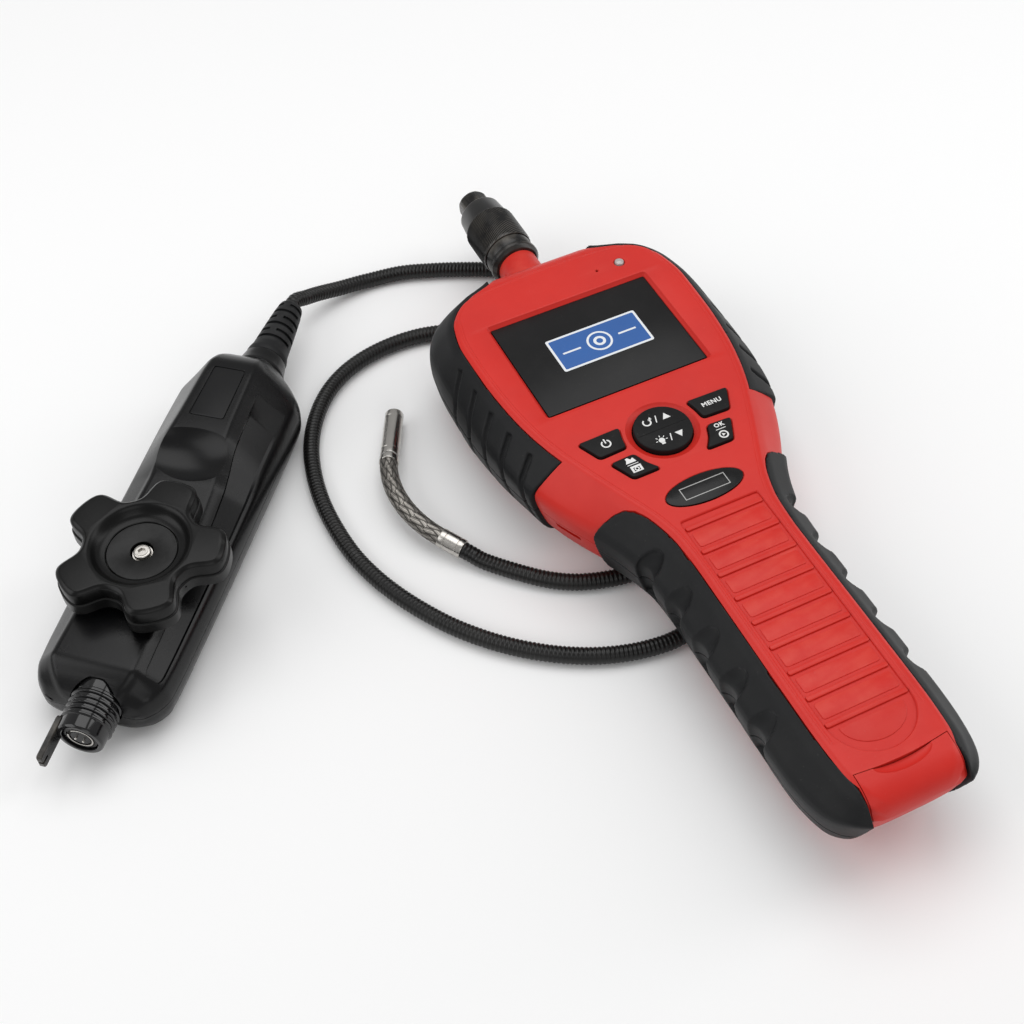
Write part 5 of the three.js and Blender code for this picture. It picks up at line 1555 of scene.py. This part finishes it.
@dataclass
class Connector:
    """Threaded probe connector at the head of the handset, with its knurled ring."""

    shop: Workshop
    bore: float = 6.7
    root: float = 49.0
    collar: float = 76.0
    ring: float = 85.0
    band: float = 105.3
    ring_end: float = 115.5
    nose: float = 124.0
    band_root: float = 107.0
    band_r: float = 10.34
    band_taper: float = 0.096

    def _write(self, name: str, solid: Solid, finish: str, body: str, slot: str, nodes: tuple[str, ...] = ()) -> None:
        """Lays a shape made about Z along the connector's axis and writes it."""
        self.shop.piece(name, along_y(solid, SOCKET_Z).moved(PLACE), finish, body, slot, nodes, 30.0)

    def build(self) -> None:
        """Makes the neck, collar, knurled ring, barrel and contacts."""
        b = self.bore
        neck = [(b, self.root), (9.0, self.root), (9.0, self.collar - 0.8), (8.8, self.collar - GAP),
                (b, self.collar - GAP)]
        self._write("red_neck", Solid.turned(neck, 72, True), "red_moulding", "handset", "red", ("socket_neck",))
        y = self.collar
        collar = [(b, y), (9.3, y), (9.9, y + 0.15), (11.15, y + 1.5), (11.3, y + 1.8), (11.3, y + 3.2),
                  (11.1, y + 3.5),
                  (10.75, y + 3.7), (10.75, y + 4.2), (10.9, y + 4.5), (10.9, self.ring - GAP), (b, self.ring - GAP)]
        self._write("gloss_collar", Solid.turned(collar, 72, True), "black_anodised", "handset", "gloss",
                    ("socket_collar",))
        self._knurl()
        self._barrel()

    def _knurl(self) -> None:
        """Coupling ring with raised diamonds, a plain tapered band and a bright index mark."""
        count, rows = 64, 34
        low, high = self.ring + 0.9, self.band - 1.0
        rings = []
        plain = [(10.6, self.ring), (11.3, self.ring + 0.2), (11.5, low)]
        finish = [(11.5, high), (11.4, high + 0.3), (11.0, self.band - 0.3), (10.9, self.band + 0.3),
                  (10.6, self.band + 1.0),
                  (9.8, self.ring_end - 1.2), (9.5, self.ring_end - 0.7), (8.8, self.ring_end),
                  (self.bore, self.ring_end), (self.bore, self.ring)]
        rings += [[(x, y, z) for x, y in polygon(r, count)] for r, z in plain]
        for row in range(1, rows):
            z = low + (high - low) * row / rows
            ring = []
            for k in range(count):
                a = math.tau * k / count
                r = 11.78 if (row + k) % 2 else 11.3
                ring.append((r * math.cos(a), r * math.sin(a), z))
            rings.append(ring)
        rings += [[(x, y, z) for x, y in polygon(r, count)] for r, z in finish]
        solid = Solid.loft(rings, closed=True)
        self._write("knurled_ring", solid, "black_anodised", "coupling", "black", ("coupling_ring",))
        outline = [*arc(0, 0, 11.42, 96, 122, 12), *arc(0, 0, 11.12, 122, 96, 12)]
        mark = Solid.prism(outline, self.ring + 0.35, self.ring + 0.8)
        self._write("index_mark", mark, "silver_print", "coupling", "steel")
        self._write("turn_arrow", self._arrow(), "silver_print", "coupling", "steel")

    def _printed(self, angle: float, low: float, high: float) -> list[Point]:
        """Section of a thin printed line that follows the plain band's taper."""
        section = []
        for z, lift in ((low, -0.1), (high, -0.1), (high, 0.06), (low, 0.06)):
            r = self.band_r - (z - self.band_root) * self.band_taper + lift
            section.append((r * math.cos(angle), r * math.sin(angle), z))
        return section

    def _arrow(self) -> Solid:
        """Curved arrow printed round the plain band."""
        parts = []
        for start, end, low, high in ((60, 112, 108.3, 108.7), (60, 112, 111.0, 111.4), (60, 61.6, 108.3, 111.4)):
            turns = [math.radians(start + (end - start) * k / 18) for k in range(19)]
            parts.append(Solid.loft([self._printed(a, low, high) for a in turns]))
        head, middle = [], 109.85
        for k in range(13):
            t = k / 12
            reach = 2.6 * (1 - t) + 0.02
            head.append(self._printed(math.radians(112 + 14 * t), middle - reach, middle + reach))
        return Solid.grouped([*parts, Solid.loft(head)])

    def _barrel(self) -> None:
        """Barrel with a hexagonal nose, and the contacts in its mouth."""
        inner = self.bore - GAP
        hexagon = Solid.prism(rounded(polygon(7.3, 6, 0.5), 0.6, 3), self.ring_end + GAP, self.nose)
        bound = Solid.turned([(0, self.ring_end), (6.95, self.ring_end), (6.95, self.nose - 1.0),
                              (6.5, self.nose - 0.2), (6.2, self.nose), (0, self.nose)], 72)
        rod = Solid.bar(inner, self.root + 2, self.ring_end + 0.6, 72)
        mouth = Solid.turned([(0, self.nose - 3.4), (4.6, self.nose - 3.4), (4.6, self.nose - 0.4),
                              (5.0, self.nose + 0.01), (5.0, self.nose + 2), (0, self.nose + 2)], 64)
        body = hexagon.kept(bound).joined(rod).cut(mouth)
        self._write("hex_barrel", body, "black_anodised", "handset", "black", ("socket_barrel",))
        low = self.nose - 3.1
        parts = [Solid.turned([(0, low), (4.3, low), (4.3, self.nose - 2.4), (4.0, self.nose - 2.2),
                               (0, self.nose - 2.2)], 48)]
        for i in range(4):
            a = math.tau * i / 4 + 0.4
            pin = Solid.turned([(0, self.nose - 2.4), (0.4, self.nose - 2.4), (0.4, self.nose - 1.2),
                                (0.2, self.nose - 1.0), (0, self.nose - 1.0)], 16)
            parts.append(pin.at(2.2 * math.cos(a), 2.2 * math.sin(a), 0))
        self._write("contact_block", Solid.grouped(parts), "bright_brass", "handset", "brass", ("socket_contacts",))


# ---------------------------------------------------------------- steering grip
@dataclass
class SteeringGrip:
    """Black two-part grip with its label, flute and thumb scoop; local Y runs along it towards the probe."""

    shop: Workshop
    stations: tuple[tuple[float, ...], ...] = (
        (-55.5, 15, 8, 17, 6), (-54.6, 17.6, 10, 20.4, 3.8), (-53, 19.5, 11.5, 22.5, 2.4),
        (-50.8, 21.6, 13.2, 24.6, 1.3),
        (-48.5, 23, 14.6, 26.2, 0.7), (-46.4, 23.9, 15.5, 27.6, 0.2), (-44, 24.6, 16, 28.6, 0),
        (-30, 25.2, 15.6, 28.6, 0),
        (20, 25.6, 14.4, 28.4, 0), (42, 25.6, 13.2, 29.4, 0), (50, 25.6, 12.8, 31.8, 0), (60, 25.6, 12, 35.6, 0),
        (64, 25.6, 11.8, 36.4, 0), (72, 25.6, 11.2, 36.6, 0), (96, 25.2, 10.2, 36.6, 0), (102.5, 23.2, 9.8, 36.2, 0.6),
        (108, 19.4, 9.2, 34, 1.8), (112.5, 15, 8.6, 30.2, 3.6), (115.5, 12.2, 8, 27, 5),
    )
    split: float = 12.5
    deck: float = 27.0
    wall: float = 2.5
    body_shift: float = -2.0
    deck_shift: float = -3.0

    def __post_init__(self) -> None:
        """Works out where the grip lies."""
        self.place = Matrix.Translation(KNOB_AT) @ Matrix.Rotation(math.radians(GRIP_TURN), 4, "Z")

    def section(self, row: tuple[float, ...], inset: float) -> Plan:
        """Faceted section across the grip at one station, shrunk by an inset."""
        _, w, t, top, rise = row
        half, deck = w + 2 - inset, max(t + 0.6 - inset * 0.7, 2.0)
        high, low = top - inset, rise + inset
        side = [
            (half - 7, low), (half - 2, low + 2.6), (half, max(self.split - 3.5, low + 4)), (half, self.split + 2),
            (half - 1.6, min(self.split + 7.5, high - 4)), (deck + 1.6, high - 2.2), (deck, high - 0.6),
            (deck - 1.4, high),
        ]
        shifts = [self.body_shift] * 5 + [self.deck_shift] * 3
        right = [(shift + x, z) for (x, z), shift in zip(side, shifts)]
        left = [(shift - x, z) for (x, z), shift in zip(side, shifts)]
        return rounded([*right, *left[::-1]], 2.0, 3)

    def _body(self, inset: float) -> Solid:
        """The grip's form, or its hollow when an inset is given."""
        rows = self.stations if inset == 0 else self.stations[4:-2]
        fine = splined(list(rows), 1.2)
        return Solid.loft([[(x, row[0], z) for x, z in self.section(row, inset)] for row in fine])

    def rod(self, r: float, start: float, end: float) -> Solid:
        """Round bar along the grip at the height of its plug."""
        return along_y(Solid.bar(r, start, end, 48), AXIS_H)

    def label_outline(self, gap: float) -> Plan:
        """Rounded plan of the label, wider towards the knob."""
        plan = rounded([(-7.2 - gap, 72 - gap), (7.2 + gap, 72 - gap), (6.6 + gap, 99 + gap), (-6.6 - gap, 99 + gap)],
                       1.2, 4)
        return [(u + self.deck_shift, v) for u, v in plan]

    def build(self) -> None:
        """Makes both shells and the label."""
        hollow = self._body(self.wall).kept(Solid.block((-60, -120, 0), (60, 200, self.deck - self.wall)))
        plug, relief = self.rod(9.5, -60, -41.2).joined(self.rod(10.2, -60, -49)), self.rod(7.3, 100, 130)
        body = self._body(0).cut(hollow, plug, relief)
        label = Solid.stack([(self.label_outline(GAP), 35.9), (self.label_outline(GAP), 36.3),
                             (self.label_outline(0.7), 36.75), (self.label_outline(0.7), 60)])
        ball = bmesh.new()
        bmesh.ops.create_uvsphere(ball, u_segments=96, v_segments=64, radius=1.0)
        scoop = Solid(ball).moved(Matrix.Translation((self.deck_shift, 49.5, 47.4)) @ Matrix.Diagonal((29, 19, 19, 1)))
        shaft = Solid.bar(4.3, 20, 60, 48)
        upper = body.kept(Solid.block((-60, -120, self.split + GAP / 2), (60, 200, 80)))
        upper = upper.cut(label, scoop, shaft, self._flute())
        lower = body.kept(Solid.block((-60, -120, -20), (60, 200, self.split - GAP / 2)))
        self.shop.piece("grip_top", upper.moved(self.place), "black_moulding", "probe_unit", "black",
                        ("grip_upper_shell",), 20.0)
        self.shop.piece("grip_base", lower.moved(self.place), "black_moulding", "probe_unit", "black",
                        ("grip_lower_shell",), 20.0)
        film = pad(self.label_outline(0), 35.95, 36.3, 0.1)
        self.shop.piece("blank_label", film.moved(self.place), "label_film", "probe_unit", "label", ("grip_label",),
                        40.0)

    def _flute(self) -> Solid:
        """Shallow channel along the facet on the right, round at the plug's end and fading towards the probe."""
        rings = []
        for row in splined(list(self.stations), 1.2):
            v, w, t, top, _ = row
            if not -45.0 <= v <= 92.0:
                continue
            low = Vector((w + 0.4 + self.body_shift, min(self.split + 7.5, top - 4)))
            high = Vector((t + 2.2 + self.deck_shift, top - 2.2))
            along = (high - low).normalized()
            out = Vector((along.y, -along.x))
            share = math.sqrt(max(0.02, 1 - (1 - min(1.0, (v + 45.4) / 5.0)) ** 2))
            half = (high - low).length * 0.37 * share
            depth = 1.0 * share * min(1.0, (93.0 - v) / 30.0)
            middle = (low + high) / 2
            shape = ((-half - 0.7, -2.5), (-half, 0.05), (-half * 0.86, depth), (half * 0.86, depth), (half, 0.05),
                     (half + 0.7, -2.5))
            points = [middle + along * a - out * b for a, b in shape]
            rings.append([(p.x, v, p.y) for p in points])
        return Solid.loft(rings)


@dataclass
class Knob:
    """Five-lobed steering knob with its centre disc and screw."""

    shop: Workshop
    grip: SteeringGrip
    base: float = 31.7
    top: float = 44.0
    skirt: float = 5.6
    lobes: int = 5
    first_lobe: float = 84.0
    disc_r: float = 13.4

    def outline(self, grow: float) -> Plan:
        """Plan of the lobes, grown by an amount."""
        points = []
        for i in range(260):
            a = math.tau * i / 260
            wave = math.cos(self.lobes * (a - math.radians(self.first_lobe)))
            lift = math.tanh(1.9 * (wave + 0.28)) / math.tanh(1.9 * 1.28)
            points.append(((27.6 + 5.4 * lift) * math.cos(a), (27.6 + 5.4 * lift) * math.sin(a)))
        return grown(points, grow) if grow else points

    def build(self) -> None:
        """Makes the knob, its disc and screw, and dresses the shaft and drum."""
        base, top, step = self.base, self.top, self.base + self.skirt
        levels = [(-0.5, base), (0.0, base + 0.5), (0.0, step - 0.4), (-0.2, step - 0.1), (-0.6, step),
                  (-0.6, top - 1.6),
                  (-0.75, top - 1.25), (-1.1, top - 0.85), (-1.9, top - 0.2), (-2.2, top - 0.05), (-2.6, top)]
        knob = Solid.stack([(self.outline(grow), z) for grow, z in levels])
        dish = Solid.turned([
            (0, top - 6.4), (self.disc_r + GAP, top - 6.4), (self.disc_r + GAP, top - 4.9),
            (self.disc_r + 0.6, top - 4.6),
            (15.0, top - 4.45), (16.3, top - 3.9), (17.3, top - 2.9), (18.1, top - 1.5), (18.7, top - 0.7),
            (19.3, top - 0.2), (20.1, top + 0.02), (20.1, top + 4), (0, top + 4)], 128)
        bore = Solid.bar(4.3, base - 2, top, 48)
        hole = Solid.bar(0.45, -6, 6, 16)
        turn = math.radians(self.first_lobe - 36 - 72 * 1)
        drill = Matrix.Translation((22.2 * math.cos(turn), 22.2 * math.sin(turn), base + 3.6)) @ Matrix.Rotation(turn,
                                                                                                                 4, "Z")
        knob = knob.cut(dish, bore, hole.moved(drill @ Matrix.Rotation(math.pi / 2, 4, "Y")))
        place = self.grip.place
        self.shop.piece("lobed_knob", knob.moved(place), "knob_moulding", "steering", "black", ("steering_knob",), 28.0)
        level = top - 4.8
        disc = Solid.turned([
            (0, top - 6.1), (self.disc_r, top - 6.1), (self.disc_r, level - 0.2), (self.disc_r - 0.2, level),
            (4.9, level), (4.5, level - 0.15), (4.4, level - 0.4), (4.4, level - 1.3), (0, level - 1.3)], 96)
        disc = disc.cut(Solid.bar(3.9, top - 9, top, 48))
        self.shop.piece("knob_cap", disc.moved(place), "knob_moulding", "steering", "black", ("knob_disc",), 28.0)
        screw = Solid.turned([
            (0, level - 1.3), (3.3, level - 1.3), (3.3, level - 0.5), (3.2, level - 0.25), (2.95, level - 0.05),
            (2.6, level), (0, level)], 64)
        socket = Solid.prism(polygon(1.6, 6), level - 0.9, level + 2)
        ring = Solid.turned([(2.2, level - 0.2), (2.5, level - 0.2), (2.5, level + 1), (2.2, level + 1)], 64, True)
        self.shop.piece("socket_screw", screw.cut(socket, ring).moved(place), "polished_steel", "steering", "steel",
                        ("knob_screw",))
        self.shop.dress("knob_shaft", "polished_steel")
        self.shop.dress("wire_drum", "bright_brass")


@dataclass
class GripPlug:
    """Threaded plug at the near end of the grip, with its contacts and locating tongue."""

    shop: Workshop
    grip: SteeringGrip
    start: float = -47.5
    end: float = -70.0
    threads: int = 5
    pitch: float = 2.3

    def _write(self, name: str, solid: Solid, finish: str, slot: str, nodes: tuple[str, ...] = ()) -> None:
        """Lays a shape made about Z along the plug's axis and writes it."""
        self.shop.piece(name, along_y(solid, AXIS_H).moved(self.grip.place), finish, "probe_unit", slot, nodes, 30.0)

    def build(self) -> None:
        """Makes the plug, its insert, spring ring, pins and tongue."""
        s, e = self.start, self.end
        profile = [(0, s + 6), (9.2, s + 6), (9.2, s - 5.0), (9.0, s - 5.2), (9.0, s - 5.5), (9.35, s - 5.7),
                   (9.35, s - 6.2), (9.1, s - 6.4)]
        for i in range(self.threads):
            v = s - 6.6 - i * self.pitch
            profile += [(9.15, v), (9.7, v - 0.12), (9.88, v - 0.3), (9.88, v - 0.75), (9.7, v - 0.95), (9.1, v - 1.25),
                        (9.05, v - 1.7)]
        profile += [(9.0, e + 1.2), (8.9, e + 0.6), (8.5, e + 0.1), (8.1, e), (7.3, e), (7.0, e + 0.2), (7.0, e + 3.6),
                    (0, e + 3.6)]
        body = Solid.turned(profile, 96).cut(Solid.block((-11, -3.6, e - 3), (-8.2, 3.6, e + 7)))
        self._write("threaded_plug", body, "gloss_black", "gloss", ("plug_body",))
        insert = Solid.turned([
            (0, e + 3.3), (6.7, e + 3.3), (6.7, e + 1.2), (6.45, e + 0.95), (5.5, e + 0.9), (5.3, e + 1.5),
            (3.9, e + 1.5), (3.8, e + 0.9), (0, e + 0.9)], 64)
        self._write("contact_insert", insert, "black_moulding", "black", ("plug_insert",))
        clip = [*arc(0, 0, 5.05, -125, 195, 40), *arc(0, 0, 4.45, 195, -125, 40)]
        self._write("spring_clip", Solid.prism(clip, e + 0.7, e + 1.45), "polished_steel", "steel")
        pins = []
        for side in (-1, 1):
            pin = Solid.turned([(0, e + 1.0), (0.5, e + 1.0), (0.5, e + 0.0), (0.35, e - 0.3), (0, e - 0.4)], 20)
            pins.append(pin.at(1.4 * side, 0.5 * side, 0))
        self._write("plug_pins", Solid.grouped(pins), "polished_steel", "steel")
        low, high = e - 12.0, e + 6.6
        plan = rounded(rectangle(low, high, -3.3, 3.3), 1.3, 4)
        tongue = Solid.stack([(grown(plan, -0.3), -10.9), (plan, -10.6), (plan, -8.8), (grown(plan, -0.3), -8.5)])
        slot = Solid.block((low - 2, -0.55, -11.5), (low + 3.5, 0.55, -8.0))
        tongue = tongue.cut(slot).moved(Matrix(((0, 0, 1, 0), (0, 1, 0, 0), (1, 0, 0, 0), (0, 0, 0, 1))))
        self._write("locating_tongue", tongue, "black_anodised", "black", ("plug_key",))


@dataclass
class StrainRelief:
    """Conical seat and tapered boot where the probe leaves the grip."""

    shop: Workshop
    grip: SteeringGrip
    seat_start: float = 113.0
    start: float = 124.0
    end: float = 158.0
    rings: int = 6
    pitch: float = 4.3

    def build(self) -> None:
        """Makes the seat and the boot with its interrupted grooves."""
        s, bore = self.seat_start, TUBE_D / 2 + 0.6
        seat = Solid.turned([
            (bore, s - 3), (6.9, s - 3), (6.9, s + 2.8), (10.7, s + 2.8), (11.0, s + 3.1), (11.0, s + 3.9),
            (10.7, s + 4.6),
            (10.0, s + 7.5), (9.5, s + 9.8), (9.3, self.start - GAP), (bore, self.start - GAP)], 72, True)
        place = self.grip.place
        self.shop.piece("boot_seat", along_y(seat, AXIS_H).moved(place), "black_moulding", "probe_unit", "black",
                        ("relief_seat",))
        a, b = self.start, self.end
        boot = Solid.turned([
            (bore, a), (8.5, a), (8.9, a + 0.4), (9.1, a + 2.0), (8.9, a + 3.2), (8.3, a + 5.2), (8.0, a + 7.0),
            (7.6, a + 12.0), (6.9, a + 20.0), (6.1, a + 28.0), (5.4, b - 1.4), (5.1, b - 0.4), (4.8, b), (bore, b)], 96,
            True)
        cuts = []
        for i in range(self.rings):
            v = a + 8.3 + i * self.pitch
            r = 8.0 - (v - a - 7.0) * 0.09
            groove = Solid.turned([(r - 1.1, v), (r + 3, v), (r + 3, v + 1.7), (r - 1.1, v + 1.7)], 96, True)
            bridges = []
            for k in range(2):
                angle = math.pi * k + (math.pi / 2 if i % 2 else 0.0)
                block = Solid.block((3.5, -1.5, v - 1), (14, 1.5, v + 3))
                bridges.append(block.moved(Matrix.Rotation(angle, 4, "Z")))
            cuts.append(groove.cut(*bridges))
        boot = boot.cut(*cuts)
        self.shop.piece("tapered_boot", along_y(boot, AXIS_H).moved(place), "grip_rubber", "probe_unit", "rubber",
                        ("strain_relief",))


def main() -> None:
    """Builds the studio and each part of the object."""
    logging.basicConfig(level=logging.INFO, format="%(name)s: %(message)s")
    shop = Workshop(Palette())
    Studio().build()
    tip_frame = TipFrame()
    followers = BraidedTip(shop, tip_frame).build()
    ProbeTube(shop, tip_frame).build(followers)
    case = HandsetCase(shop, HandsetForm())
    case.build()
    FacePanel(shop, case).build()
    Connector(shop).build()
    grip = SteeringGrip(shop)
    grip.build()
    Knob(shop, grip).build()
    GripPlug(shop, grip).build()
    StrainRelief(shop, grip).build()


if __name__ == "__main__":
    main()
